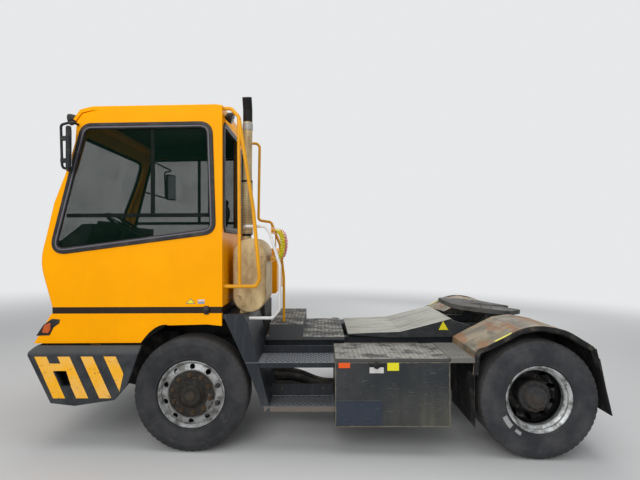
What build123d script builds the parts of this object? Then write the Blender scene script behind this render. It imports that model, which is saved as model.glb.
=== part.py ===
from build123d import *
import math
import os

# Terminal tractor with a one person cab on its left side and a lifting fifth wheel.
# Millimetres. X points forward, Y to the left, Z up. Sizes are given from the front axle
# and the ground; the whole model is shifted at the end so that its origin lies on the
# ground below the middle. The sprung chassis stands slightly nose down on its wheels,
# so its pieces are drawn level and turned together about the front axle's foot.

# Whole vehicle
wheelbase = 3100
nose_rake = 1.4
bumper_front = 1440
bumper_nose_z = 868
tail_end = -wheelbase - 635
flap_tip_z = 358
side_half = 1250
fit_gap = 0.3
moving_gap = 5
plate = 12

# Tyres and rims
front_tyre_radius = 512
rear_tyre_radius = 530
tyre_width = 285
rim_radius = 284
rim_flange = 15
rim_half = 118
rim_wall = 12
rim_well_depth = 24
front_disc_face = 104
front_disc_root = 86
front_disc_shoulder = 213
rear_disc_root = -40
rear_disc_shoulder = 191
track_half = 1100
twin_spacing = 325
hand_holes = 10
front_hand_hole_radius = 24
front_hand_hole_circle = 243
rear_hand_hole_radius = 25
rear_hand_hole_circle = 220
disc_thickness = 12
hub_radius = 128

# Front axle and steering
kingpin_y = 945
kingpin_radius = 22
spindle_radius = 38
rear_spindle_radius = 50
eye_height = 150
beam_width = 90
beam_depth = 110
beam_drop = 60
spring_length = 1240
spring_width = 80
spring_y = 385
arm_length = 210

# Frame
rail_outer = 430
rail_bottom = 620
rail_depth = 240
rail_flange = 75
rail_front = 1180
rail_rear = -wheelbase - 440
pivot_x = -1500
pivot_z = 820
pivot_radius = 35
coupling_height = 520
lamp_reach = 515

# Bumper
bumper_top = 953
bumper_wall = 40
bumper_round = 22
bumper_return = 1010
headlamp_y = 820
headlamp_z = 690
headlamp_radius = 95

# Cab shell
cab_left = 1215
cab_right = -385
cab_wall = 40
cab_base = 1290
sill_inset = 6
cab_rear_x = -290
cab_floor_top = 1330
roof_top = 3110
roof_skin = 55
roof_round = 16
corner_round = 22
skirt_top = 1232
skirt_bottom = 968
glass_thickness = 8
glass_inset = 10
window_round = 80
door_left = 395
door_right = -330
door_bottom = 1345
door_top = roof_top - 160
door_gap = 6
door_window = (-250, 315, 1700, roof_top - 240)
hinge_x = cab_rear_x - 18
hinge_y = door_right - 12
hinge_radius = 9
hinge_heights = (1500, 2150, roof_top - 310)
screen_low = 1830
screen_high = roof_top - 260
brow_z = roof_top - 151
rear_window_top = roof_top - 170
screen_side = 70
wheel_x = 860
wheel_y = 570
wheel_z = 2050
wheel_lean = 35
nose_corner = (1352, 1698)
nose_ease = 130

# Deck, steps and boxes
riser_front = -640
riser_rear = -985
deck_top = 890
deck_left = 588
riser_top = 1022
step_outer = 1215
step_low_top = 400
step_mid_top = 790
wheelhouse_top = 1192
box_front = -1295
box_rear = -2312
box_low = 230
box_top = 800
box_inner = 605
box_wall = 6
lid_thickness = 32
lid_hinge_y = box_inner + 4
lid_hinge_z = box_top + 16
lid_hinge_radius = 9
lid_hinge_length = 90
lid_inner = box_inner + 18
tank_length = 980

# Lift boom and fifth wheel
boom_half = 505
boom_plate = 14
plate_pivot_x = -3000
plate_pivot_z = 1040
plate_pivot_radius = 32
fifth_half = 450
fifth_front = 410
fifth_rear = 390
fifth_thickness = 46
fifth_tilt = 6
kingpin_hole = 25.5
cylinder_y = 230
barrel_radius = 62
rod_radius = 34
eye_pin_radius = 22
barrel_foot_x = -1700
barrel_foot_z = 690
rod_eye_x = -2350
rod_eye_z = 860
rod_eye_play = 6
barrel_length = 470

# Rear mudguards
guard_inner = 530
guard_outer = 1235
guard_wall = 8

# Exhaust and air lines
silencer_x = -495
silencer_width = 315
silencer_low = 1200
silencer_high = 1905
silencer_outer = 985
silencer_inner = 430
stack_radius = 45
stack_x = -458
stack_y = 900
stack_top = 3255
coil_radius = 30
bracket_x = -694
port_low = 1705
port_high = 1985
port_radius = 14
port_length = 22
coil_y = {"yellow": 800, "red": 500}

# Mirrors
mirror_x = 1020
mirror_inner = cab_left + 35
mirror_outer = mirror_inner + 170
mirror_turn = 29
mirror_thickness = 44
mirror_low = 2495
mirror_high = 2870
hoop_low = 2525
hoop_high = 2925


def ahead(x, z):
    """Distance in front of the front axle of a chassis point once it is nose down."""
    rake = math.radians(nose_rake)
    return x * math.cos(rake) + z * math.sin(rake)


origin_shift = -(ahead(bumper_front, bumper_nose_z) + ahead(tail_end, flap_tip_z)) / 2
rear_axle_x = -wheelbase
outboard = {"left": 1, "right": -1}


def sprung(shape):
    """Turn a level chassis piece to the nose down stand and move it to the origin."""
    return Pos(origin_shift, 0, 0) * Rot(0, nose_rake, 0) * shape


def grounded(shape):
    """Move a wheel or axle piece, which stays level, to the origin."""
    return Pos(origin_shift, 0, 0) * shape


def on_side(shape, side):
    """Mirror a left hand piece to the right where it is asked for."""
    return shape if side == "left" else mirror(shape, about=Plane.XZ)


def box_between(x0, x1, y0, y1, z0, z1):
    """A box between two corners."""
    size = Box(abs(x1 - x0), abs(y1 - y0), abs(z1 - z0))
    return Pos((x0 + x1) / 2, (y0 + y1) / 2, (z0 + z1) / 2) * size


def side_plate(points, y0, y1, rounding=0):
    """A plate drawn in side view, X along and Z up, and extruded from y0 to y1."""
    outline = Polyline(*[(x, 0, z) for x, z in points], close=True)
    face = make_face(outline)
    if rounding:
        face = fillet(face.vertices(), rounding)
    solid = extrude(face, amount=y1 - y0, dir=(0, 1, 0))
    return Pos(0, y0, 0) * solid


def bent_strip(points, thickness, y0, y1):
    """Sheet bent along a line in side view, with its thickness below the line."""
    count = len(points)
    lower = []
    for i in range(count):
        before = points[max(i - 1, 0)]
        after = points[min(i + 1, count - 1)]
        run = math.hypot(after[0] - before[0], after[1] - before[1])
        normal_x = (after[1] - before[1]) / run
        normal_z = -(after[0] - before[0]) / run
        if normal_z > 0:
            normal_x = -normal_x
            normal_z = -normal_z
        lower.append((points[i][0] + normal_x * thickness, points[i][1] + normal_z * thickness))
    return side_plate(points + lower[::-1], y0, y1)


def rod_y(x, z, radius, y0, y1):
    """A round bar along Y."""
    bar = Rot(-90, 0, 0) * Cylinder(radius, y1 - y0, align=(Align.CENTER, Align.CENTER, Align.MIN))
    return Pos(x, y0, z) * bar


def tube_path(points, radius, bends):
    """A round tube swept along straight runs joined by arcs."""
    if bends:
        path = FilletPolyline(*points, radius=bends)
    else:
        path = Polyline(*points)
    start = Plane(origin=path @ 0, z_dir=path % 0)
    return sweep(start * Circle(radius), path=path)


def ring_about_y(profile):
    """Revolve a list of radius and width points about the Y axis."""
    face = make_face(Polyline(*[(r, w, 0) for r, w in profile], close=True))
    return revolve(face, axis=Axis.Y)


def tyre(radius, width):
    """A tyre with flat tread, rounded shoulders and bulging walls."""
    half = width / 2
    bead = rim_radius + rim_flange + fit_gap
    wall = (radius - bead) / 3
    with BuildSketch() as section:
        with BuildLine():
            Polyline((bead, -rim_half + 6), (bead + wall * 0.4, -half + 8), (bead + wall, -half))
            l1 = Line((bead + wall, -half), (radius - 60, -half + 4))
            ThreePointArc(l1 @ 1, (radius - 14, -half + 18), (radius - 2, -half + 48))
            Polyline((radius - 2, -half + 48), (radius, 0), (radius - 2, half - 48))
            ThreePointArc((radius - 2, half - 48), (radius - 14, half - 18), (radius - 60, half - 4))
            Polyline((radius - 60, half - 4), (bead + wall, half), (bead + wall * 0.4, half - 8))
            Polyline((bead + wall * 0.4, half - 8), (bead, rim_half - 6), (bead, -rim_half + 6))
        make_face()
    return revolve(section.sketch, axis=Axis.Y)


def revolved_union(*profiles):
    """Join outlines of radius and width points in one plane and revolve them about the Y axis."""
    section = None
    for profile in profiles:
        face = make_face(Polyline(*[(r, w, 0) for r, w in profile], close=True))
        section = face if section is None else section + face
    return revolve(section, axis=Axis.Y)


def shifted(profile, width, turn=1):
    """A profile moved along the axle, and turned inside out where turn is -1."""
    return [(r, width + turn * w) for r, w in profile]


def rim_profile():
    """The rim's rolled section with its flanges, bead seats and drop centre."""
    outer = rim_radius
    flange = rim_radius + rim_flange
    well = rim_radius - rim_well_depth
    return [
        (flange, -rim_half), (flange, -rim_half + 9), (outer, -rim_half + 14), (outer, -70),
        (well, -48), (well, 48), (outer, 70), (outer, rim_half - 14),
        (flange, rim_half - 9), (flange, rim_half), (flange - 9, rim_half),
        (outer - rim_wall, rim_half - 18), (outer - rim_wall, 76), (well - rim_wall, 52),
        (well - rim_wall, -52), (outer - rim_wall, -76), (outer - rim_wall, -rim_half + 18),
        (flange - 9, -rim_half),
    ]


def disc_profile(face_w, root_w, shoulder, edge):
    """Section of the pressed disc: bolted face at face_w, a plain cone, welded root at root_w."""
    back = disc_thickness if face_w > root_w else -disc_thickness
    return [
        (edge, root_w), (shoulder, face_w), (hub_radius - 6, face_w),
        (hub_radius - 6, face_w - back), (shoulder - 5, face_w - back), (edge, root_w - back),
    ]


def hand_holes_cut(circle, radius, w0, w1):
    """Ring of bars from w0 to w1 that cut the hand holes through the cone of a disc."""
    cuts = None
    for i in range(hand_holes):
        angle = (i + 0.5) * 360 / hand_holes
        cut = Rot(0, angle, 0) * rod_y(circle, 0, radius, w0, w1)
        cuts = cut if cuts is None else cuts + cut
    return cuts


def front_rim():
    """Front rim with its disc at the outer side and the hub that turns on the spindle."""
    seat_w = front_disc_face - disc_thickness + 0.5
    hub = [
        (spindle_radius + fit_gap, -70), (82, -70), (100, -20), (100, 72), (182, 78),
        (182, seat_w), (hub_radius - 4, seat_w),
        (hub_radius - 4, front_disc_face + 2), (96, 132), (88, 148), (70, 152), (0, 152),
        (0, 128), (spindle_radius + fit_gap, 128),
    ]
    disc = disc_profile(front_disc_face, front_disc_root, front_disc_shoulder, rim_radius - rim_wall + 3)
    rim = revolved_union(rim_profile(), disc, hub)
    return rim - hand_holes_cut(front_hand_hole_circle, front_hand_hole_radius, 77, 130)


def rear_rims():
    """The two rims of a twin wheel, their discs bolted back to back on one hub."""
    half = twin_spacing / 2
    edge = rim_radius - rim_well_depth - rim_wall / 2
    disc = disc_profile(-half, rear_disc_root, rear_disc_shoulder, edge)
    hub = [
        (rear_spindle_radius + fit_gap, -120), (112, -120), (118, -40), (182, -34), (182, -11),
        (hub_radius + 4, -11), (hub_radius - 2, 60), (112, 128), (104, 150), (60, 156), (0, 156),
        (0, 130), (rear_spindle_radius + fit_gap, 130),
    ]
    rims = revolved_union(
        shifted(rim_profile(), half), shifted(disc, half),
        shifted(rim_profile(), -half, -1), shifted(disc, -half, -1), hub)
    return rims - hand_holes_cut(rear_hand_hole_circle, rear_hand_hole_radius, -200, 200)


def knuckle():
    """Left steering knuckle: yoke round the beam's eye, spindle and steering arm."""
    z = front_tyre_radius
    half = eye_height / 2
    spindle = rod_y(0, z, spindle_radius, kingpin_y + 56, track_half + 126)
    flange = rod_y(0, z, 60, kingpin_y + 54, kingpin_y + 80)
    upper = Pos(0, kingpin_y, z + half + 1 + 15) * Cylinder(46, 30)
    lower = Pos(0, kingpin_y, z - half - 1 - 15) * Cylinder(46, 30)
    web = box_between(-34, 34, kingpin_y + 54, kingpin_y + 76, z - half - 30, z + half + 30)
    caps = box_between(-34, 34, kingpin_y, kingpin_y + 76, z + half + 1, z + half + 31)
    caps += box_between(-34, 34, kingpin_y, kingpin_y + 76, z - half - 31, z - half - 1)
    pin = Pos(0, kingpin_y, z) * Cylinder(kingpin_radius, eye_height + 64)
    arm = side_plate([(0, z - half - 31), (-arm_length, z - half - 31), (-arm_length, z - half - 6),
                      (0, z - half - 6)], kingpin_y - 30, kingpin_y + 10)
    return spindle + flange + upper + lower + web + caps + pin + arm


def front_axle():
    """Dropped forged beam with its eyes, leaf springs and hangers under the rails."""
    z = front_tyre_radius
    half = eye_height / 2
    middle = z - beam_drop
    drop_y = 640
    outline = [
        (-kingpin_y, z - 45), (-drop_y, middle - beam_depth / 2), (drop_y, middle - beam_depth / 2),
        (kingpin_y, z - 45), (kingpin_y, z + 45), (drop_y, middle + beam_depth / 2),
        (-drop_y, middle + beam_depth / 2), (-kingpin_y, z + 45),
    ]
    face = make_face(Polyline(*[(0, y, h) for y, h in outline], close=True))
    beam = extrude(face, amount=beam_width / 2, dir=(1, 0, 0), both=True)
    for side in (1, -1):
        beam += Pos(0, side * kingpin_y, z) * Cylinder(48, eye_height)
    for side in (1, -1):
        beam -= Pos(0, side * kingpin_y, z) * Cylinder(kingpin_radius + fit_gap, eye_height + 10)
    springs = None
    top = rail_bottom
    for side in (1, -1):
        y0 = side * spring_y - spring_width / 2
        y1 = side * spring_y + spring_width / 2
        half_run = spring_length / 2
        main = side_plate([(-half_run, top - 42), (0, top - 92), (half_run, top - 42),
                           (half_run, top - 26), (0, top - 76), (-half_run, top - 26)], y0, y1)
        short = half_run * 0.7
        pack = side_plate([(-short, top - 74), (0, top - 116), (short, top - 74),
                           (short, top - 56), (0, top - 90), (-short, top - 56)], y0, y1)
        pad = box_between(-70, 70, y0, y1, middle, top - 84)
        hangers = box_between(half_run - 50, half_run + 30, y0, y1, top - 50, top)
        hangers += box_between(-half_run - 30, -half_run + 50, y0, y1, top - 50, top)
        spring = main + pack + pad + hangers
        springs = spring if springs is None else springs + spring
    return grounded(beam) + sprung(springs)


def rear_axle():
    """Drive axle: round housing, tapering arms, spindles and seats under the rails."""
    z = rear_tyre_radius
    centre = track_half - twin_spacing / 2
    x = rear_axle_x
    inner_end = centre - 155
    tube = Pos(x, 0, z) * Rot(90, 0, 0) * Cylinder(82, 2 * inner_end)
    spindles = Pos(x, 0, z) * Rot(90, 0, 0) * Cylinder(rear_spindle_radius, 2 * (centre + 124))
    drums = tube
    for side in (1, -1):
        drum = ring_about_y([(60, 0), (205, 0), (205, 20), (150, 44), (60, 44)])
        drums += Pos(x, side * (inner_end - 12), z) * Rot(0, 0, 0 if side > 0 else 180) * drum
    bowl = ring_about_y([(0, -170), (110, -165), (175, -110), (200, 0), (175, 110), (110, 165), (0, 170)])
    nose = Pos(x + 250, 0, z + 20) * Rot(0, 90, 0) * Cylinder(95, 200)
    housing = drums + spindles + Pos(x, 0, z) * bowl + nose
    seats = None
    for side in (1, -1):
        y0 = side * 392 - 60
        y1 = side * 392 + 60
        low = z - wheelbase * math.tan(math.radians(nose_rake)) + 20
        seat = side_plate([(x - 150, low), (x + 150, low), (x + 220, rail_bottom),
                           (x - 220, rail_bottom)], y0, y1)
        seats = seat if seats is None else seats + seat
    return grounded(housing) + sprung(seats)


def frame_rail(side):
    """Folded channel rail, its flanges turned in."""
    s = outboard[side]
    outer = s * rail_outer
    top = rail_bottom + rail_depth
    web = box_between(rail_rear, rail_front, outer, outer - s * plate, rail_bottom, top)
    low = box_between(rail_rear, rail_front, outer, outer - s * rail_flange, rail_bottom, rail_bottom + plate)
    high = box_between(rail_rear, rail_front, outer, outer - s * rail_flange, top - plate, top)
    y0, y1 = sorted((outer, outer - s * 70))
    post = box_between(cab_rear_x - 2, cab_rear_x + 58, y0, y1, top, skirt_top)
    return web + low + high + post


def pivot_crossmember():
    """Cross tube between the rails with the ears that carry the boom's pin and cylinder feet."""
    y_in = rail_outer - plate
    tube = rod_y(pivot_x + 95, rail_bottom + 140, 50, -y_in, y_in)
    ears = tube
    for side in (1, -1):
        y0 = side * (cylinder_y + 100) - 12
        y1 = side * (cylinder_y + 100) + 12
        ear = side_plate([(pivot_x + 150, rail_bottom + 110), (pivot_x + 120, rail_bottom + 195),
                          (pivot_x + 38, pivot_z + 38), (pivot_x - 38, pivot_z + 38),
                          (pivot_x - 48, pivot_z - 30), (pivot_x + 60, rail_bottom + 90)], y0, y1)
        ears += ear
    hole = rod_y(pivot_x, pivot_z, pivot_radius + fit_gap, -500, 500)
    ears -= hole
    foot_tube = rod_y(barrel_foot_x + 100, barrel_foot_z, 45, -y_in, y_in)
    foot = foot_tube
    for side in (1, -1):
        for offset in (-46, 46):
            y = side * cylinder_y + offset
            front = barrel_foot_x + 110
            rear = barrel_foot_x - 28
            foot += side_plate([(front, barrel_foot_z - 45), (front, barrel_foot_z + 45),
                                (rear, barrel_foot_z + 34), (rear, barrel_foot_z - 34)], y - 9, y + 9)
    foot += rod_y(barrel_foot_x, barrel_foot_z, eye_pin_radius, -cylinder_y - 55, cylinder_y + 55)
    link = box_between(pivot_x + 80, barrel_foot_x + 90, -60, 60, rail_bottom + 74, rail_bottom + 96)
    return ears + foot + link


def tail_crossmember():
    """Rear plate between the rails with the round bore of the towing coupling and lamp wings."""
    top = rail_bottom + rail_depth
    face = box_between(rail_rear - plate, rail_rear, -rail_outer, rail_outer, rail_bottom - 80, top)
    wings = box_between(rail_rear - plate, rail_rear, -lamp_reach, lamp_reach, top - 190, top - 60)
    jaw = box_between(rail_rear, rail_rear + 140, -70, 70, coupling_height + 60, coupling_height + 220)
    lips = box_between(rail_rear - 150, rail_rear, -90, 90, coupling_height + 80, coupling_height + 105)
    lips += box_between(rail_rear - 150, rail_rear, -90, 90, coupling_height + 175, coupling_height + 200)
    bore = Pos(rail_rear - 90, 0, coupling_height + 140) * Cylinder(25, 200)
    return face + wings + jaw + lips - bore


def outer_edges(solid, y, x_low):
    """Edges of a solid that lie in the side plane y and in front of x_low."""
    found = []
    for edge in solid.edges():
        ends = [vertex for vertex in edge.vertices()]
        flat = all(abs(vertex.Y - y) < 0.01 for vertex in ends)
        if flat and all(vertex.X > x_low for vertex in ends):
            found.append(edge)
    return found


def front_bumper():
    """Full width bumper, its ends returned along the sides and cut up behind the wheel."""
    lip = [(1357, bumper_top), (1400, 924), (1433, 896)]
    side_shape = lip + [
        (bumper_front, bumper_nose_z), (1235, 449), (bumper_return, 423), (658, 474), (549, 601), (424, 951),
    ]
    socket = [(1190, 730), (1088, 729), (1045, 596), (1120, 596)]
    recess = side_plate(socket, -side_half - 5, side_half + 5, 12)
    sides = None
    for side in (1, -1):
        y0, y1 = sorted((side * side_half, side * (side_half - bumper_wall)))
        end = side_plate(side_shape, y0, y1)
        end = fillet(outer_edges(end, side * side_half, 1230), bumper_round)
        sides = end if sides is None else sides + end
    sides -= recess
    skin = lip + [(bumper_front, bumper_nose_z), (1235, 449), (1180, 449), (1385, 862), (1345, 915)]
    front = side_plate(skin, -side_half + bumper_wall, side_half - bumper_wall)
    shelf = box_between(rail_front, 1372, -side_half + bumper_wall, side_half - bumper_wall, 905, 930)
    for y in (-headlamp_y, headlamp_y):
        front -= Pos(1330, y, headlamp_z) * Rot(0, 90, 0) * Cylinder(headlamp_radius, 420)
    towing = box_between(rail_front, 1300, -90, 90, 640, 760)
    towing += box_between(rail_front, rail_front + 20, -rail_outer, rail_outer, 660, 740)
    arms = None
    for side in (1, -1):
        arm = box_between(rail_front, 1290, side * (rail_outer - 60), side * rail_outer, 650, 830)
        arms = arm if arms is None else arms + arm
    return sides + front + shelf + towing + arms


def front_apron():
    """Yellow front panel between the bumper and the cab, flared forward at its foot."""
    outline = [(1238, skirt_top), (1392, skirt_bottom), (1352, skirt_bottom), (1198, skirt_top)]
    apron = side_plate(outline, -cab_left + cab_wall, cab_left - cab_wall)
    for y in (-900, -300, 300, 900):
        gusset = [(1214, skirt_top - 18), (1356, skirt_bottom + 1), (1342, 940), (1205, 940)]
        apron += side_plate(gusset, y - 6, y + 6)
    return apron


def side_skirt(side):
    """Side panel below the cab, cut out over the wheel with a folded arch lip."""
    outline = [
        (1238, skirt_top), (1392, skirt_bottom), (435, 971), (211, 1125), (-156, 1133),
        (-285, 1119), (-285, skirt_top),
    ]
    s = outboard[side]
    y0, y1 = sorted((s * cab_left, s * (cab_left - cab_wall)))
    panel = side_plate(outline, y0, y1)
    lip_line = [(425, 983), (205, 1137), (-152, 1145), (-280, 1131)]
    z0, z1 = sorted((s * (cab_left - cab_wall), s * (cab_left - 330)))
    lip = bent_strip(lip_line, -8, z0, z1)
    return panel + lip


def nose_line():
    """Cab front in side view from its base to the brow, with the corner at the waist eased."""
    foot = (1238, cab_base)
    above = (1295, 1918)
    starts = []
    for end in (foot, above):
        run = math.dist(nose_corner, end)
        starts.append([c + (e - c) * nose_ease / run for c, e in zip(nose_corner, end)])
    eased = []
    for t in (0, 0.2, 0.4, 0.6, 0.8, 1):
        eased.append(tuple((1 - t) ** 2 * a + 2 * t * (1 - t) * c + t ** 2 * b
                           for a, c, b in zip(starts[0], nose_corner, starts[1])))
    return [foot] + eased + [above, (1223, 2228), (1095, 2560), (1035, brow_z - 181), (1023, brow_z)]


def cab_side_outline():
    """Side view of the cab from its base over the raked screen to the roof line."""
    return nose_line() + [
        (968, roof_top - 78), (877, roof_top - roof_skin), (cab_rear_x, roof_top - roof_skin),
        (cab_rear_x, cab_base),
    ]


def left_window():
    """Corners of the large left side window."""
    return [(947, roof_top - 202), (-175, roof_top - 188), (-205, 1968), (1232, 1781)]


def side_glass_y(side):
    """Outer and inner faces of a side pane."""
    if side == "left":
        outer = cab_left - glass_inset
        return outer - glass_thickness, outer
    outer = cab_right + glass_inset
    return outer, outer + glass_thickness


def cab_side(side):
    """Cab side wall with its window cut."""
    if side == "left":
        y0, y1 = cab_left - cab_wall, cab_left
    else:
        y0, y1 = cab_right, cab_right + cab_wall
    wall = side_plate(cab_side_outline(), y0, y1)
    outer = y1 if side == "left" else y0
    wall = fillet(outer_edges(wall, outer, 870), corner_round)
    cut = side_plate(left_window(), y0 - 5, y1 + 5, window_round)
    return wall - cut


def side_glass(side):
    """Side pane seated in its opening."""
    y0, y1 = side_glass_y(side)
    points = left_window()
    face = make_face(Polyline(*[(x, 0, z) for x, z in points], close=True))
    face = fillet(face.vertices(), window_round)
    pane = offset(face, amount=-fit_gap)
    return Pos(0, y0, 0) * extrude(pane, amount=y1 - y0, dir=(0, 1, 0))


def front_band(x_shift):
    """Line of the cab front in side view, set back by x_shift."""
    return [(x - x_shift, z) for x, z in nose_line()]


def cab_front():
    """Cab front below and above the windscreen, raked back, between the side walls."""
    outer = front_band(0)
    inner = front_band(cab_wall)
    y0 = cab_right + cab_wall
    y1 = cab_left - cab_wall
    panel = side_plate(outer + inner[::-1], y0, y1)
    return panel - screen_cut(0)


def screen_cut(gap):
    """The windscreen's opening as a block through the front, smaller all round by the gap."""
    y0 = cab_right + cab_wall + screen_side + gap
    y1 = cab_left - cab_wall - screen_side - gap
    size = Box(600, y1 - y0, screen_high - screen_low - 2 * gap)
    block = fillet(size.edges().filter_by(Axis.X), window_round)
    return Pos(1150, (y0 + y1) / 2, (screen_low + screen_high) / 2) * block


def windscreen():
    """Windscreen bent along the cab front and seated in its opening."""
    outer = front_band(glass_inset)
    inner = front_band(glass_inset + glass_thickness)
    y0 = cab_right + cab_wall
    y1 = cab_left - cab_wall
    sheet = side_plate(outer + inner[::-1], y0, y1)
    return sheet & screen_cut(fit_gap)


def rear_window_cut(gap):
    """Opening of the window left of the door."""
    y0 = door_left + 95 + gap
    y1 = cab_left - cab_wall - 25 - gap
    size = Box(200, y1 - y0, rear_window_top - 1985 - 2 * gap)
    block = fillet(size.edges().filter_by(Axis.X), 60)
    return Pos(cab_rear_x, (y0 + y1) / 2, (rear_window_top + 1985) / 2) * block


def cab_rear():
    """Rear wall with the doorway on the right and a window behind the driver."""
    wall = box_between(cab_rear_x, cab_rear_x + cab_wall, cab_right + cab_wall, cab_left - cab_wall,
                       cab_base, roof_top - roof_skin)
    doorway = box_between(cab_rear_x - 50, cab_rear_x + 100, door_right, door_left, door_bottom, door_top)
    wall = wall - doorway - rear_window_cut(0)
    for z in hinge_heights:
        for low, high in ((z - 60, z - 40 - fit_gap), (z + 40 + fit_gap, z + 60)):
            wall += Pos(hinge_x, hinge_y, (low + high) / 2) * Cylinder(hinge_radius, high - low)
            wall += box_between(hinge_x - 3, cab_rear_x, hinge_y - 3, hinge_y + 9, low, high)
    return wall


def rear_glass():
    """Pane of the rear window."""
    slab = box_between(cab_rear_x + glass_inset, cab_rear_x + glass_inset + glass_thickness,
                       cab_right, cab_left, cab_base, roof_top)
    return slab & rear_window_cut(fit_gap)


def door_window_cut(gap):
    """Opening of the door's window."""
    y0, y1, z0, z1 = door_window
    size = Box(200, y1 - y0 - 2 * gap, z1 - z0 - 2 * gap)
    block = fillet(size.edges().filter_by(Axis.X), 60)
    return Pos(cab_rear_x, (y0 + y1) / 2, (z0 + z1) / 2) * block


def cab_door():
    """Rear entrance door with its window, hinge knuckles and pull handle."""
    leaf = box_between(cab_rear_x - 2, cab_rear_x + cab_wall - 2, door_right + door_gap, door_left - door_gap,
                       door_bottom + door_gap, door_top - door_gap)
    leaf -= door_window_cut(0)
    for z in hinge_heights:
        leaf += Pos(hinge_x, hinge_y, z) * Cylinder(hinge_radius, 80)
        leaf += box_between(hinge_x - 3, hinge_x + 3, hinge_y, door_right + 60, z - 40, z + 40)
        leaf += box_between(hinge_x - 3, cab_rear_x, door_right + 20, door_right + 60, z - 40, z + 40)
    grip_y = door_left - 60
    leaf += tube_path([(cab_rear_x - 1, grip_y, 1950), (cab_rear_x - 55, grip_y, 1950),
                       (cab_rear_x - 55, grip_y, 2250), (cab_rear_x - 1, grip_y, 2250)], 11, 25)
    return leaf


def door_glass():
    """Pane of the door's window."""
    slab = box_between(cab_rear_x + glass_inset, cab_rear_x + glass_inset + glass_thickness,
                       cab_right, cab_left, cab_base, roof_top)
    return slab & door_window_cut(fit_gap)


def cab_roof():
    """Shallow roof cap that lies on the walls and overhangs them with rounded edges."""
    outline = [
        (1023, brow_z + 3), (968, roof_top - 75), (880, roof_top - roof_skin),
        (cab_rear_x, roof_top - roof_skin), (cab_rear_x, roof_top - 8), (cab_rear_x + 60, roof_top),
        (860, roof_top - 15), (985, roof_top - 48), (1045, brow_z + 16),
    ]
    cap = side_plate(outline, cab_right, cab_left)
    rims = [e for y in (cab_right, cab_left) for e in outer_edges(cap, y, cab_rear_x - 1)
            if e.center().Z > roof_top - roof_skin + 30]
    return fillet(rims, roof_round)


def cab_floor():
    """Floor with the driver's raised footwell, engine tunnel step and seat pedestal."""
    y0 = cab_right + cab_wall
    y1 = cab_left - cab_wall
    slab = box_between(cab_rear_x + cab_wall, 1190, y0, y1, cab_base, cab_floor_top)
    pedestal = box_between(-60, 260, 380, 760, cab_floor_top, 1560)
    sill = box_between(cab_rear_x + sill_inset, 1238 - sill_inset, cab_right + sill_inset,
                       cab_left - sill_inset, skirt_top, cab_base)
    sill -= box_between(cab_rear_x + 70, 1180, cab_right + 70, cab_left - 70, skirt_top, cab_base)
    return slab + pedestal + sill


def seat():
    """Driver's seat, cushion and back in one outline."""
    outline = [
        (330, 1560), (340, 1660), (290, 1690), (60, 1670), (0, 1720), (-110, 2280), (-170, 2320),
        (-215, 2290), (-130, 1660), (-110, 1560),
    ]
    return side_plate(outline, 340, 800)


def dashboard():
    """Dashboard across the cab with the binnacle and the steering column."""
    y0 = cab_right + cab_wall
    y1 = cab_left - cab_wall
    outline = [
        (1240, 1740), (1240, 1800), (1185, 1880), (985, 2035), (905, 2040), (905, 1960), (1000, 1700),
        (1150, 1420), (1180, 1420),
    ]
    body = side_plate(outline, y0, y1)
    binnacle = side_plate([(1080, 1960), (1050, 2085), (965, 2080), (930, 1990)], 380, 760)
    lean = math.radians(wheel_lean)
    reach = []
    for d in (220, 20 + fit_gap):
        reach.append((wheel_x + d * math.sin(lean), wheel_y, wheel_z - d * math.cos(lean)))
    column = tube_path(reach, 26, 0)
    return body + binnacle + column


def steering_wheel():
    """Steering wheel with four spokes and hub."""
    rim = Torus(205, 14)
    wheel = rim + Cylinder(42, 40)
    for i in range(4):
        spoke = Pos(115, 0, 0) * Box(190, 26, 12)
        wheel += Rot(0, 0, 45 + 90 * i) * spoke
    return Pos(wheel_x, wheel_y, wheel_z) * Rot(0, -wheel_lean, 0) * wheel


def engine():
    """Engine and gearbox as one plain block below the cab and cover."""
    block = box_between(-560, 900, -340, 340, 690, 1190)
    for x in (-300, 700):
        block += box_between(x - 50, x + 50, -rail_outer + plate, rail_outer - plate, 700, 760)
    nose_x = rear_axle_x + 350
    nose_z = rear_tyre_radius + 20 + nose_x * math.tan(math.radians(nose_rake))
    block += box_between(-590, -200, -170, 170, 600, 850)
    shaft = tube_path([(-590, 0, 690), (nose_x, 0, nose_z)], 40, 0)
    return block + shaft


def engine_cover():
    """Cover beside the cab over the engine, open below, with its sloped front."""
    outline = [(1230, skirt_top), (1200, 1700), (1140, 1790), (-620, 1790), (-620, skirt_top)]
    y1 = cab_right - 18
    y0 = -cab_left
    shell = side_plate(outline, y0, y1, 30)
    inner = [(1180, skirt_top - 50), (1155, 1670), (1115, 1745), (-575, 1745), (-575, skirt_top - 50)]
    return shell - side_plate(inner, y0 + 45, y1 - 45, 20)


def deck():
    """Walkway behind the cab with the raised box step."""
    slab = box_between(-600, pivot_x + 88, -deck_left, deck_left, rail_bottom + rail_depth, deck_top)
    riser_right = -deck_left + 30
    riser = box_between(riser_rear, riser_front, riser_right, deck_left, deck_top, riser_top)
    hollow = box_between(riser_rear + plate, riser_front - plate, riser_right + plate, deck_left - plate,
                         800, riser_top - plate)
    return slab + riser - hollow


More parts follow.
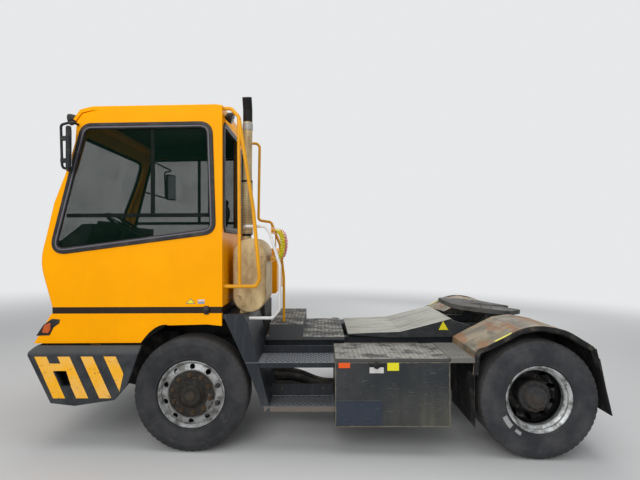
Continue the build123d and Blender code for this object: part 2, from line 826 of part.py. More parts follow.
def step_frame():
    """Left steps: slanted wheelhouse plate with its return and two treads with turned lips."""
    cheek = side_plate([(-292, 1222), (-476, 1222), (-523, 1137), (-600, 818), (-707, 400), (-663, 351),
                        (-493, 789)], step_outer - plate, step_outer)
    back_line = [(-480, wheelhouse_top), (-523, 1137), (-600, 818), (-707, 400)]
    back_face = [(x + 14, z) for x, z in back_line]
    back = side_plate(back_line + back_face[::-1], rail_outer, step_outer - plate)
    top = box_between(-480, -292, 640, step_outer - plate, wheelhouse_top - plate, wheelhouse_top)
    treads = None
    rear = box_front + fit_gap
    for front, top_z, far in ((-695, step_low_top, 925), (-600, step_mid_top, 850)):
        tread = box_between(front, rear, far, step_outer, top_z - plate, top_z)
        tread += box_between(front - 20, rear, step_outer - plate, step_outer, top_z - 45, top_z)
        tread += box_between(front - 20, rear, far, far + plate, top_z - 45, top_z)
        treads = tread if treads is None else treads + tread
    riser = box_between(-607, box_front + fit_gap, 838, 850, step_mid_top - 12, deck_top - 30)
    return cheek + back + top + treads + riser


def handrail_white():
    """White grab rail of the steps."""
    y = 1085
    points = [
        (-511, y, 1167), (-728, y, 1168), (-790, y, 1244), (-795, y, 1649), (-698, y, 1959),
        (-656, y, 2013), (stack_x - 5, y, 2014), (stack_x - 5, stack_y + stack_radius + 9.3, 2014),
    ]
    return tube_path(points, 14, [40, 40, 60, 30, 30, 45])


def tool_box():
    """Steel box on the left side, open at the top, with a shelf behind it."""
    shell = box_between(box_rear, box_front, box_inner, side_half - 2, box_low, box_top)
    hollow = box_between(box_rear + box_wall, box_front - box_wall, box_inner + box_wall,
                         side_half - 2 - box_wall, box_low + box_wall, box_top + 50)
    bracket = box_between(box_rear + 120, box_front - 120, rail_outer, box_inner,
                          rail_bottom + 20, rail_bottom + 180)
    shelf = box_between(-2531, box_rear, box_inner, side_half - 2, box_top - 8, box_top + lid_thickness)
    return shell - hollow + bracket + shelf + lid_hinge_ears()


def lid_hinges():
    """Places of the lid's three hinges along the box."""
    return box_rear + 150, (box_rear + box_front) / 2, box_front - 150


def lid_hinge_ears():
    """Fixed halves of the lid's hinges, at both ends of each of its knuckles."""
    ears = None
    reach = lid_hinge_length / 2 + fit_gap
    for x in lid_hinges():
        for x0, x1 in ((x - reach - 28, x - reach), (x + reach, x + reach + 28)):
            knuckle_end = Rot(0, 90, 0) * Cylinder(lid_hinge_radius, x1 - x0)
            ear = Pos((x0 + x1) / 2, lid_hinge_y, lid_hinge_z) * knuckle_end
            leaf = box_between(x0, x1, lid_hinge_y - lid_hinge_radius, lid_hinge_y, box_top - 60, lid_hinge_z)
            ears = ear + leaf if ears is None else ears + ear + leaf
    return ears


def box_lid():
    """Tread plate lid of the box, hinged along its inner edge."""
    lid = box_between(box_rear + moving_gap, box_front - moving_gap, lid_inner, side_half,
                      box_top + moving_gap, box_top + lid_thickness)
    half = lid_hinge_length / 2
    for x in lid_hinges():
        lid += Pos(x, lid_hinge_y, lid_hinge_z) * Rot(0, 90, 0) * Cylinder(lid_hinge_radius, lid_hinge_length)
        lid += box_between(x - half, x + half, lid_hinge_y, lid_inner + 1, lid_hinge_z - 4, lid_hinge_z + 4)
    return lid


def fuel_tank():
    """Fuel tank on the right with rounded corners, straps and filler."""
    x0 = box_rear + 60
    x1 = x0 + tank_length
    body = box_between(x0, x1, -side_half + 30, -650, 250, 780)
    body = fillet(body.edges().filter_by(Axis.X), 90)
    for x in (x0 + 200, x1 - 200):
        strap = box_between(x - 25, x + 25, -side_half + 25, -645, 245, 785)
        strap = fillet(strap.edges().filter_by(Axis.X), 92)
        body += strap
        body += box_between(x - 30, x + 30, -650, -rail_outer, 500, 760)
    filler = Pos(x1 - 90, -900, 780) * Cylinder(45, 70)
    return body + filler


def mudguard(side):
    """Rear mudguard over the twin wheel with its inner skirt and hanging flap."""
    x = rear_axle_x
    line = [(x + 575, 683), (x + 554, 883), (x + 449, 939), (x + 314, 1005), (x + 156, 1084),
            (x - 24, 1111), (x - 238, 1072), (x - 491, 925), (x - 540, 794)]
    sheet = bent_strip(line, guard_wall, guard_inner, guard_outer)
    lip = bent_strip(line, 45, guard_outer - guard_wall, guard_outer)
    flap = side_plate([(x - 525, 830), (tail_end + 20, flap_tip_z + 14), (tail_end, flap_tip_z),
                       (x - 545, 820)], guard_inner + 60, guard_outer)
    brackets = None
    for foot_x in (x + 500, x - 380):
        foot = box_between(foot_x - 25, foot_x + 25, rail_outer, guard_inner + 20, 700, 850)
        brackets = foot if brackets is None else brackets + foot
    wall = side_plate([(x + 560, 700), (x + 554, 880), (x + 449, 933), (x + 400, 960), (x + 400, 700)],
                      guard_inner, guard_inner + guard_wall)
    wall += side_plate([(x - 490, 921), (x - 536, 794), (x - 530, 700), (x - 380, 700), (x - 380, 985)],
                       guard_inner, guard_inner + guard_wall)
    return on_side(sheet + lip + flap + brackets + wall, side)


boom_line = [(-1455, 905), (-2000, 925), (-2250, 985), (-2540, 1060)]


def lift_boom():
    """Boom: bent ramp plate between tapered cheeks, webs, pivot tube and plate bearings."""
    ramp = bent_strip(boom_line, boom_plate, -boom_half, boom_half)
    cheek_shape = [
        (-1460, 893), (-2000, 913), (-2250, 973), (-2540, 1047), (-2700, 1000), (-2800, 960),
        (-2740, 870), (-1900, 866),
    ]
    cheeks = side_plate(cheek_shape, boom_half - boom_plate, boom_half)
    cheeks += side_plate(cheek_shape, -boom_half, -boom_half + boom_plate)
    web_shape = [
        (pivot_x + 48, pivot_z - 20), (pivot_x + 50, pivot_z + 72), (-2000, 914), (-2250, 974), (-2540, 1048),
        (-2570, 985), (plate_pivot_x + 110, 975), (plate_pivot_x + 55, plate_pivot_z + 15),
        (plate_pivot_x + 32, plate_pivot_z + 40), (plate_pivot_x - 32, plate_pivot_z + 40),
        (plate_pivot_x - 58, plate_pivot_z), (plate_pivot_x - 45, 960), (plate_pivot_x + 60, 905),
        (-2650, 880), (rod_eye_x - 75, 868), (rod_eye_x - 38, rod_eye_z - 38),
        (rod_eye_x + 38, rod_eye_z - 38), (rod_eye_x + 75, 856), (-1700, 850), (pivot_x - 40, pivot_z - 46),
        (pivot_x + 20, pivot_z - 46),
    ]
    webs = None
    for y in (cylinder_y + 70, -cylinder_y - 70 - boom_plate):
        web = side_plate(web_shape, y, y + boom_plate)
        webs = web if webs is None else webs + web
    tube = rod_y(-2640, 930, 60, -boom_half + 4, boom_half - 4)
    pin = rod_y(pivot_x, pivot_z, pivot_radius, -cylinder_y - 118, cylinder_y + 118)
    plate_pin = rod_y(plate_pivot_x, plate_pivot_z, plate_pivot_radius, -cylinder_y - 130, cylinder_y + 130)
    eyes = rod_y(rod_eye_x, rod_eye_z, eye_pin_radius, -cylinder_y - 76, cylinder_y + 76)
    return ramp + cheeks + webs + tube + pin + plate_pin + eyes


def cylinder_angle():
    """Lean of the lift cylinders above the ground line, towards the rear."""
    return math.degrees(math.atan2(rod_eye_z - barrel_foot_z, barrel_foot_x - rod_eye_x))


def cylinder_length():
    """Distance between the cylinder's two eyes at rest."""
    return math.hypot(rod_eye_z - barrel_foot_z, rod_eye_x - barrel_foot_x)


def along_cylinder(shape, side):
    """Lay a piece drawn along +X from the foot eye onto the cylinder's line."""
    s = outboard[side]
    return Pos(barrel_foot_x, s * cylinder_y, barrel_foot_z) * Rot(0, cylinder_angle() + 180, 0) * shape


def lift_barrel(side):
    """Lift cylinder's barrel with its foot eye and bore."""
    body = Pos(50, 0, 0) * Rot(0, 90, 0) * Cylinder(barrel_radius, barrel_length - 50,
                                                  align=(Align.CENTER, Align.CENTER, Align.MIN))
    eye = Rot(90, 0, 0) * Cylinder(44, 50) + Pos(30, 0, 0) * Box(60, 50, 60)
    bore = Pos(90, 0, 0) * Rot(0, 90, 0) * Cylinder(rod_radius + 1, barrel_length,
                                                  align=(Align.CENTER, Align.CENTER, Align.MIN))
    hole = Rot(90, 0, 0) * Cylinder(eye_pin_radius + fit_gap, 70)
    return along_cylinder(body + eye - bore - hole, side)


def lift_rod(side):
    """Lift cylinder's chromed rod with its eye."""
    end = cylinder_length()
    start = 110
    rod = Pos(start, 0, 0) * Rot(0, 90, 0) * Cylinder(rod_radius, end - start - 20,
                                                     align=(Align.CENTER, Align.CENTER, Align.MIN))
    eye = Pos(end, 0, 0) * Rot(90, 0, 0) * Cylinder(42, 50)
    hole = Pos(end, 0, 0) * Rot(90, 0, 0) * Cylinder(eye_pin_radius + rod_eye_play, 70)
    return along_cylinder(rod + eye - hole, side)


def fifth_wheel():
    """Fifth wheel plate: horseshoe top with a flared throat, bearing lugs and skirt, tilted rear down."""
    with BuildSketch() as top:
        with BuildLine():
            Polyline((fifth_front - 90, -fifth_half + 60), (fifth_front, -fifth_half + 190),
                     (fifth_front, fifth_half - 190), (fifth_front - 90, fifth_half - 60),
                     (60, fifth_half), (-170, fifth_half), (-fifth_rear, 190), (-fifth_rear, 130))
            Line((-fifth_rear, 130), (-70, kingpin_hole))
            Line((-70, kingpin_hole), (0, kingpin_hole))
            ThreePointArc((0, kingpin_hole), (kingpin_hole, 0), (0, -kingpin_hole))
            Line((0, -kingpin_hole), (-70, -kingpin_hole))
            Line((-70, -kingpin_hole), (-fifth_rear, -130))
            Polyline((-fifth_rear, -130), (-fifth_rear, -190), (-170, -fifth_half), (60, -fifth_half),
                     (fifth_front - 90, -fifth_half + 60))
        make_face()
    table = extrude(top.sketch, amount=fifth_thickness)
    drop = 84
    lift = Pos(0, 0, drop - fifth_thickness / 2)
    body = lift * table
    for y in (cylinder_y + 110, -cylinder_y - 110):
        lug = side_plate([(-70, drop - 20), (-42, -20), (0, -42), (42, -20), (70, drop - 20)], y - 16, y + 16)
        body += lug
    bore = rod_y(0, 0, plate_pivot_radius + fit_gap, -fifth_half, fifth_half)
    body -= bore
    return Pos(plate_pivot_x, 0, plate_pivot_z) * Rot(0, -fifth_tilt, 0) * body


def exhaust():
    """Oval silencer lying across behind the cab, with its upright stack and cut tip."""
    height = silencer_high - silencer_low
    oval = SlotOverall(height, silencer_width, rotation=90)
    can = extrude(Plane.XZ * oval, amount=silencer_outer - silencer_inner)
    can = Pos(silencer_x, silencer_outer, (silencer_low + silencer_high) / 2) * can
    can = fillet(can.edges(), 18)
    top_x = stack_x - 12
    stack = tube_path([(stack_x, stack_y, silencer_high - 60), (top_x, stack_y, 3005),
                       (top_x, stack_y, 3150), (top_x, stack_y + 45, stack_top)], stack_radius, [120, 60])
    sleeve = Pos(stack_x - 5, stack_y, 2200) * Cylinder(stack_radius + 9, 520)
    collar = Pos(top_x, stack_y, 2980) * Cylinder(stack_radius + 5, 60)
    for y in (silencer_inner + 270, silencer_outer - 60):
        can += box_between(silencer_x + 25, silencer_x + 95, y - 20, y + 20, wheelhouse_top, silencer_low + 45)
    return can + stack + sleeve + collar


def handrail_yellow():
    """Yellow grab rail on the left rear corner of the cab."""
    y = 1150
    rail = tube_path([(cab_rear_x, y, roof_top - 25), (-358, y, roof_top - 25), (-428, y, roof_top - 100),
                      (-560, y, 2159),
                      (-616, y, 1535), (-583, y, 1466), (cab_rear_x, y, 1466)], 17, [40, 60, 200, 60, 30])
    upright = tube_path([(-428, y, roof_top - 125), (-434, y, 1466)], 16, 0)
    return rail + upright


def mirror_arm(side):
    """Mirror in its rounded housing, clamped to a tube hoop from the front corner of the cab."""
    s = outboard[side]
    middle = s * (mirror_inner + mirror_outer) / 2
    shell = Box(mirror_thickness, mirror_outer - mirror_inner, mirror_high - mirror_low)
    shell = fillet(shell.edges(), 18)
    housing = Pos(mirror_x, middle, (mirror_low + mirror_high) / 2) * Rot(0, 0, s * mirror_turn) * shell
    root = cab_left if side == "left" else cab_right
    reach = s * (mirror_inner + 60)
    low_x = mirror_x + 70
    hoop = tube_path([(1000, root, hoop_high), (1000, reach, hoop_high), (low_x + 12, reach, hoop_high - 25),
                      (low_x, reach, hoop_low), (low_x, root, hoop_low)], 11, [30, 30, 30])
    for z in (mirror_low + 90, mirror_high - 90):
        hoop += box_between(mirror_x + 14, mirror_x + 76, reach - 20, reach + 20, z - 18, z + 18)
    return housing + hoop


def entry_rail():
    """Rail beside the doorway that runs down along the stairs and carries the air lines' ports."""
    y = door_left + 22
    rail = tube_path([(cab_rear_x, y, 2930), (-520, y, 2930), (-505, y, 2105), (-640, y, 2085),
                      (-735, y, 1842), (-775, y, 1500), (-775, y, riser_top)], 14, [50, 40, 40, 80, 80])
    rail += box_between(bracket_x, bracket_x + 8, y, y + 40, port_low - 30, port_high + 30)
    for z in (port_low, port_high):
        rail += box_between(bracket_x, bracket_x + 8, y, max(coil_y.values()) + 45, z - 30, z + 30)
    for y in coil_y.values():
        for z in (port_low, port_high):
            rail += Pos(bracket_x, y, z) * Rot(0, -90, 0) * Cylinder(
                port_radius, port_length, align=(Align.CENTER, Align.CENTER, Align.MIN))
    return rail


def coil_route(colour):
    """Points of a curly air line from its upper port, out and down, to its lower port."""
    start = bracket_x - port_length
    y = coil_y[colour]
    drop = port_high - port_low
    shape = [(0, 0), (45, 0), (72, 0.16), (82, 0.38), (80, 0.62), (68, 0.84), (42, 1), (0, 1)]
    return [(start - out, y, port_high - down * drop) for out, down in shape]


def route_radii(points):
    """As large an arc at each corner of a route as its two runs allow."""
    radii = []
    for before, corner, after in zip(points, points[1:], points[2:]):
        first = Vector(*corner) - Vector(*before)
        second = Vector(*after) - Vector(*corner)
        turn = first.get_angle(second)
        shorter = min(first.length, second.length)
        radii.append(0.45 * shorter / math.tan(math.radians(turn / 2)))
    return radii


def air_coil(colour):
    """Curly air line as a plain tube of its outer diameter."""
    points = coil_route(colour)
    radii = route_radii(points)
    return tube_path(points, coil_radius, radii)


def collect():
    """Every piece by its node name."""
    made = {}
    for side in ("left", "right"):
        s = outboard[side]
        front = Pos(0, s * track_half, front_tyre_radius)
        made["front_tyre_" + side] = grounded(front * tyre(front_tyre_radius, tyre_width))
        made["front_rim_" + side] = grounded(front * on_side(front_rim(), side))
        made["knuckle_" + side] = grounded(on_side(knuckle(), side))
        centre = track_half - twin_spacing / 2
        for row, offset_y in (("outer", twin_spacing / 2), ("inner", -twin_spacing / 2)):
            y = s * (centre + offset_y)
            place = Pos(rear_axle_x, y, rear_tyre_radius)
            made["rear_tyre_" + row + "_" + side] = grounded(place * tyre(rear_tyre_radius, tyre_width))
        rims = Pos(rear_axle_x, s * centre, rear_tyre_radius) * on_side(rear_rims(), side)
        made["rear_rims_" + side] = grounded(rims)
        made["frame_rail_" + side] = sprung(frame_rail(side))
        made["side_skirt_" + side] = sprung(side_skirt(side))
        made["mudguard_" + side] = sprung(mudguard(side))
        made["lift_barrel_" + side] = sprung(lift_barrel(side))
        made["lift_rod_" + side] = sprung(lift_rod(side))
        made["cab_side_" + side] = sprung(cab_side(side))
        made["glass_" + side] = sprung(side_glass(side))
        made["mirror_" + side] = sprung(mirror_arm(side))
    made["front_axle"] = front_axle()
    made["rear_axle"] = rear_axle()
    for name, maker in (
        ("pivot_crossmember", pivot_crossmember), ("tail_crossmember", tail_crossmember),
        ("front_bumper", front_bumper), ("front_apron", front_apron), ("engine", engine),
        ("engine_cover", engine_cover), ("deck", deck), ("step_frame", step_frame),
        ("handrail_white", handrail_white), ("tool_box", tool_box), ("box_lid", box_lid),
        ("fuel_tank", fuel_tank), ("lift_boom", lift_boom), ("fifth_wheel", fifth_wheel),
        ("exhaust", exhaust), ("handrail_yellow", handrail_yellow), ("cab_front", cab_front),
        ("cab_rear", cab_rear), ("cab_roof", cab_roof), ("cab_floor", cab_floor),
        ("cab_door", cab_door), ("windscreen", windscreen), ("glass_rear", rear_glass),
        ("glass_door", door_glass), ("seat", seat), ("dashboard", dashboard),
        ("steering_wheel", steering_wheel), ("entry_rail", entry_rail),
    ):
        made[name] = sprung(maker())
    for colour in coil_y:
        made["air_coil_" + colour] = sprung(air_coil(colour))
    return made


os.makedirs("parts", exist_ok=True)
for name, shape in collect().items():
    export_step(shape, "parts/" + name + ".step")
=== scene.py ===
# %% [markdown]
# A terminal tractor, the low yard machine that shunts trailers in a port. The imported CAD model
# is the fixed frame: its plates, wheels and glass are already in place and to size. This script
# gives each of them a finish and adds the small shapes that CAD leaves out, such as tread,
# nuts, window rubbers, lamps and the curled air lines.

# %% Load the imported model
import math

import bmesh
import bpy
import numpy as np
from mathutils import Matrix, Vector


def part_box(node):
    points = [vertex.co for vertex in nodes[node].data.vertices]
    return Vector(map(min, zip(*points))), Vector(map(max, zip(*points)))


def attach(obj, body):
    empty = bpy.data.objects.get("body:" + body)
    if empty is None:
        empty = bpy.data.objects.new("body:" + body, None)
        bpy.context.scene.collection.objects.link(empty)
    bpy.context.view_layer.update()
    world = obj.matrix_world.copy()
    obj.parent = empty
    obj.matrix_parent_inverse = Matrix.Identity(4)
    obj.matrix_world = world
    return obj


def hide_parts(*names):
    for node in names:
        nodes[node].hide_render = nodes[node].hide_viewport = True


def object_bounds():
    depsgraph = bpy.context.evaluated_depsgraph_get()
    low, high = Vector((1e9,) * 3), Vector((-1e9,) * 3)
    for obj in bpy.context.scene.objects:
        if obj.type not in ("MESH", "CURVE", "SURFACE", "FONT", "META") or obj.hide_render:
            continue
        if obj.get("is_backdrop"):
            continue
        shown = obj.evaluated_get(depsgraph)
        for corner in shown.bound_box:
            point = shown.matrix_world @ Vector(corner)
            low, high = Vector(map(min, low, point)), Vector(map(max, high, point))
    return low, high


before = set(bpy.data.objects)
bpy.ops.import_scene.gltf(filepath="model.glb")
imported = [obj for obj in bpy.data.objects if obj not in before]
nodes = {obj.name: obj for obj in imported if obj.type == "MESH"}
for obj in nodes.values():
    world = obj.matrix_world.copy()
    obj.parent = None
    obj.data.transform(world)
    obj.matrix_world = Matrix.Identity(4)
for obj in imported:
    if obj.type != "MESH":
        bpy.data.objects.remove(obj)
cad_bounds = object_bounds()
print(len(nodes), "CAD nodes, box", [round(v, 3) for corner in cad_bounds for v in corner])

# %% [markdown]
# The real machine stands a little nose down on its springs, so everything that is sprung is
# drawn in a level chassis frame: metres forward of the front axle, to the left, and above the
# ground. One function turns such points by the rake and moves them to the row frame. The wheels
# stay level, so they only need the axle's place, which is read from the tyres' boxes.

# %% From the level chassis to the row frame
NOSE_RAKE = math.radians(1.4)
RAKE_COS, RAKE_SIN = math.cos(NOSE_RAKE), math.sin(NOSE_RAKE)


def middle(node):
    """Centre of a CAD node's box."""
    low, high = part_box(node)
    return np.array((low + high) / 2)


FRONT_AXLE = middle("front_tyre_left")[0]


def chassis(points):
    """Row places of level chassis points: (x, z) turned nose down by the rake, x moved to the axle."""
    x, y, z = np.moveaxis(np.asarray(points, float), -1, 0)
    return np.stack([x * RAKE_COS + z * RAKE_SIN + FRONT_AXLE, y, z * RAKE_COS - x * RAKE_SIN], axis=-1)


def turned_way(x, y, z):
    """A direction, or an array of them, of the level chassis in the row frame."""
    return chassis(np.stack(np.broadcast_arrays(x, y, z), axis=-1)) - chassis([0, 0, 0])


SIDES = (("left", 1), ("right", -1))
print("front axle at", round(FRONT_AXLE, 4))

# %% [markdown]
# The photograph was taken from the left, about four metres off, a little below the cab roof's
# height, with a wide lens held slightly crooked. The camera is built from those readings: a
# place, three small angles and a focal length in pixels of a picture 640 wide.

# %% Camera at the photograph's place
PHOTO_WIDTH = 640
FOCAL_PIXELS = 450.49
SENSOR = 36.0
CAMERA_PLACE = (FRONT_AXLE - 1.1286, 5.2424, 1.870)
CAMERA_YAW, CAMERA_PITCH, CAMERA_ROLL = (math.radians(a) for a in (0.137, 0.585, 1.21))


def photo_camera():
    """Camera whose forward way is turned by yaw and pitch, and whose right and up ways by the roll."""
    level = Vector((math.sin(CAMERA_YAW), -math.cos(CAMERA_YAW), 0))
    right = Vector((-math.cos(CAMERA_YAW), -math.sin(CAMERA_YAW), 0))
    up = Vector((0, 0, 1))
    ahead = level * math.cos(CAMERA_PITCH) + up * math.sin(CAMERA_PITCH)
    lifted = up * math.cos(CAMERA_PITCH) - level * math.sin(CAMERA_PITCH)
    rolled = right * math.cos(CAMERA_ROLL) + lifted * math.sin(CAMERA_ROLL)
    lifted = lifted * math.cos(CAMERA_ROLL) - right * math.sin(CAMERA_ROLL)
    data = bpy.data.cameras.new("photo_camera")
    data.sensor_fit, data.sensor_width = "HORIZONTAL", SENSOR
    data.lens = FOCAL_PIXELS / PHOTO_WIDTH * SENSOR
    camera = bpy.data.objects.new("photo_camera", data)
    bpy.context.scene.collection.objects.link(camera)
    columns = Matrix((rolled, lifted, -ahead)).transposed().to_4x4()
    camera.matrix_world = Matrix.Translation(CAMERA_PLACE) @ columns
    return camera


bpy.context.scene.camera = photo_camera()
print("lens", round(bpy.context.scene.camera.data.lens, 2), "mm")

# %% [markdown]
# Shaders are easier to read as sums than as boxes and wires. A Field holds one socket whose
# number changes over the surface, and an expression on fields adds the Math nodes. A Finish
# holds one material: the method node makes every other kind of node, and the small methods
# after it are the patterns that painted, rusty and dusty steel is made from.


# %% Shader maths as expressions
def maths(operation, swapped=False):
    """A method that adds one Math node with this field and another value."""
    def apply(self, other=None):
        values = (other, self) if swapped else (self, other)
        return self.finish.maths(operation, *values)
    return apply


class Field:
    """A number that varies over a surface."""

    def __init__(self, finish, socket):
        self.finish, self.socket = finish, socket

    __add__ = __radd__ = maths("ADD")
    __mul__ = __rmul__ = maths("MULTIPLY")
    __sub__, __rsub__ = maths("SUBTRACT"), maths("SUBTRACT", swapped=True)
    __mod__ = maths("FLOORED_MODULO")
    __gt__, __lt__ = maths("GREATER_THAN"), maths("LESS_THAN")
    __abs__ = maths("ABSOLUTE")
    least, most = maths("MINIMUM"), maths("MAXIMUM")


def rgb(red, green, blue):
    """A colour written as a screen shows it, 0 to 255, made linear."""
    share = np.array([red, green, blue]) / 255
    linear = np.where(share <= 0.04045, share / 12.92, ((share + 0.055) / 1.055) ** 2.4)
    return (*linear.tolist(), 1.0)


def scaled(colour, share):
    """A colour made darker or lighter by a share."""
    return (*(c * share for c in colour[:3]), 1)


class Finish:
    """One material with its Principled shader and the patterns that feed it."""

    def __init__(self, name, colour, roughness=0.5, metallic=0.0, **fixed):
        self.material = bpy.data.materials.new(name)
        self.material.use_nodes = True
        self.tree = self.material.node_tree
        self.shader = self.tree.nodes["Principled BSDF"]
        for socket, value in {"Base Color": colour, "Roughness": roughness, "Metallic": metallic}.items():
            self.shader.inputs[socket].default_value = value
        for socket, value in {"specular_ior_level": 0.25, **fixed}.items():
            self.shader.inputs[socket.replace("_", " ").title().replace("Ior", "IOR")].default_value = value
        self.places = {}

    def feed(self, socket, value):
        """Link a field or socket, or set a constant."""
        if isinstance(value, Field):
            value = value.socket
        if isinstance(value, bpy.types.NodeSocket):
            self.tree.links.new(value, socket)
        else:
            socket.default_value = value

    def node(self, kind, settings=None, inputs=None):
        """Any node: its settings first, then the values or links of its sockets."""
        made = self.tree.nodes.new(kind)
        for key, value in (settings or {}).items():
            setattr(made, key, value)
        for key, value in (inputs or {}).items():
            self.feed(made.inputs[key], value)
        return made

    def maths(self, operation, *values):
        numbered = {i: v for i, v in enumerate(values) if v is not None}
        return Field(self, self.node("ShaderNodeMath", {"operation": operation}, numbered).outputs[0])

    def place(self, move=(0, 0, 0), turn=(0, 0, 0), size=(1, 1, 1)):
        """Object coordinates, moved, turned and stretched, as one vector socket."""
        key = (tuple(move), tuple(turn), tuple(size))
        if key not in self.places:
            source = self.node("ShaderNodeTexCoord").outputs["Object"]
            self.places[key] = self.node("ShaderNodeMapping", {"vector_type": "POINT"}, {
                "Vector": source, "Location": move, "Rotation": turn, "Scale": size}).outputs[0]
        return self.places[key]

    def level(self):
        """Fields x, y, z of the level chassis frame, which undoes the rake."""
        back = (-FRONT_AXLE * RAKE_COS, 0, -FRONT_AXLE * RAKE_SIN)
        return self.split(self.place(back, (0, -NOSE_RAKE, 0)))

    def about(self, centre):
        """Distance from a wheel's axle and the angle round it, as two fields."""
        x, _, z = self.split(self.place([-c for c in centre]))
        return self.maths("SQRT", x * x + z * z), self.maths("ARCTAN2", z, x)

    def split(self, vector):
        parts = self.node("ShaderNodeSeparateXYZ", None, {0: vector}).outputs
        return [Field(self, socket) for socket in parts]

    def normal(self):
        """Fields x, y, z of the way that the surface faces."""
        return self.split(self.node("ShaderNodeNewGeometry").outputs["Normal"])

    def facing_up(self):
        """How much the surface looks at the sky, 0 to 1."""
        return self.normal()[2].most(0.0)

    def noise(self, scale, detail=4, stretch=(1, 1, 1), shift=(0, 0, 0), rough=0.6):
        """Cloudy pattern, 0 to 1; stretch is how many times faster it changes along each axis."""
        texture = self.node("ShaderNodeTexNoise", None, {
            "Vector": self.place(shift, (0, 0, 0), stretch), "Scale": scale, "Detail": detail,
            "Roughness": rough})
        return Field(self, texture.outputs[0])

    def rise(self, field, low, high, start=0.0, end=1.0):
        """A smooth step from start to end while the field goes from low to high."""
        made = self.node("ShaderNodeMapRange", {"interpolation_type": "SMOOTHSTEP"}, {
            0: field, 1: low, 2: high, 3: start, 4: end})
        return Field(self, made.outputs[0])

    def patches(self, scale, detail, low, high, stretch=(1, 1, 1), shift=(0, 0, 0), rough=0.6):
        """Cloudy patches: 0 where the noise is under low, 1 where it is over high."""
        return self.rise(self.noise(scale, detail, stretch, shift, rough), low, high)

    def blend(self, factor, first, second):
        """A colour between two colours."""
        made = self.node("ShaderNodeMix", {"data_type": "RGBA"}, {0: factor, 6: first, 7: second})
        return made.outputs[2]

    def layered(self, base, *layers):
        """Colours laid over a base in turn; a layer is how much of it, then its red, green and blue."""
        for amount, *colour in layers:
            base = self.blend(amount, base, rgb(*colour))
        return base

    def bump(self, height, distance):
        """Relief from a field, as deep as distance in metres."""
        made = self.node("ShaderNodeBump", None, {"Height": height, "Distance": distance, "Strength": 1.0})
        self.feed(self.shader.inputs["Normal"], made.outputs[0])

    def use(self, colour=None, roughness=None, metallic=None, alpha=None):
        """Feed the shader's varying sockets and give the finish back."""
        for name, value in (("Base Color", colour), ("Roughness", roughness), ("Metallic", metallic),
                            ("Alpha", alpha)):
            if value is not None:
                self.feed(self.shader.inputs[name], value)
        return self


print("shader helpers ready")

# %% [markdown]
# Most of the machine is painted sheet steel that has worked outdoors. On such paint the colour
# drifts a little, road dust gathers low down and on tops, rain draws it into streaks, and
# knocks leave chips that rust. One function makes that finish from a few amounts, so that the
# cab, the dark frame and the rails differ only in their numbers.

# %% Worn paint
RUST = rgb(104, 58, 34)
DUST = rgb(126, 118, 104)
INNER_LEFT, INNER_RIGHT, INNER_REAR = 1.190, -0.362, -0.262
INNER_FLOOR, INNER_ROOF, LINING_FRONT = 1.296, 3.060, 0.945
LOW_STEP_TOP, MID_STEP_TOP, STEP_RISER = 0.400, 0.790, 0.852
SKIRT_INSIDE, STEP_OUTSIDE = 1.172, 1.212


def worn_paint(name, colour, dust=0.25, streak=0.2, chips=0.35, roughness=0.42, gloss=0.25,
               dust_top=0.3, dust_colour=DUST, chip_colour=RUST, fade=0.12, zones=()):
    """Paint that fades, is dusty below dust_top metres and on tops, streaked and chipped; zones differ."""
    finish = Finish(name, colour, roughness, specular_ior_level=gloss)
    x, y, z = finish.level()
    body = finish.blend(finish.patches(1.7, 3, 0.3, 0.7), colour, scaled(colour, 1 - 2.2 * fade))
    low = finish.rise(z + finish.noise(4, 3) * 0.5, dust_top + 0.75, dust_top)
    run = finish.patches(3, 4, 0.48, 0.72, (9, 9, 0.7), rough=0.7)
    soil = (low * dust + run * streak + finish.facing_up() * dust * 0.8).least(0.9)
    speckled = finish.rise(finish.noise(14, 5), 0.25, 0.6, 0.55, 1.0)
    body = finish.blend(soil * speckled, body, dust_colour)
    chip_start = 0.71 - chips * 0.06
    chip = finish.rise(finish.noise(11, 6, rough=0.75) + low * 0.03, chip_start, chip_start + 0.025)
    body = finish.blend(chip * min(1.0, chips * 2), body, chip_colour)
    for zone, zone_colour in zones:
        body = finish.blend(zone(x, y, z), body, zone_colour)
    finish.bump(finish.noise(90, 2) * 0.3 - chip, 0.0006)
    return finish.use(colour=body, roughness=finish.rise(soil + chip * 0.4, 0.0, 0.8, roughness, 0.85))


def inside_cab(x, y, z):
    """Inner faces of the cab: within its walls and behind a line that leans like the windscreen."""
    ahead = (x < 1.312 - (z - 1.698) * 0.2514) * (x < 1.208 + (z - 1.290) * 0.2794)
    across = (y < INNER_LEFT) * (y > INNER_RIGHT)
    return across * (x > INNER_REAR) * ahead * (z > INNER_FLOOR) * (z < INNER_ROOF)


def cab_lining(x, y, z):
    """The inner faces that carry dark lining: all but the front pillars."""
    return inside_cab(x, y, z) * (x < LINING_FRONT)


def door_jamb(x, y, z):
    """The doorway's left edge, where the yellow shows, in a darker yellow that is painted shade."""
    return (abs(y - 0.412) < 0.018) * (x < -0.240) * (x > INNER_REAR) * (z > 1.340) * (z < 2.960)


def tread_tops(x, y, z):
    """Top faces of the two steps, rubbed paler."""
    return ((abs(z - LOW_STEP_TOP) < 0.003) + (abs(z - MID_STEP_TOP) < 0.003)) * (y > STEP_RISER) * 0.6


def arch_liner(x, y, z):
    """The folded lip over the front wheel."""
    return (abs(y) < SKIRT_INSIDE) * (z < 1.200) * (x < 0.600)


def step_edge(x, y, z):
    """The low step's outer edge, scraped and rusted."""
    return (y > STEP_OUTSIDE) * (z > 0.353) * (z < LOW_STEP_TOP - 0.0015) * (x < -0.660)


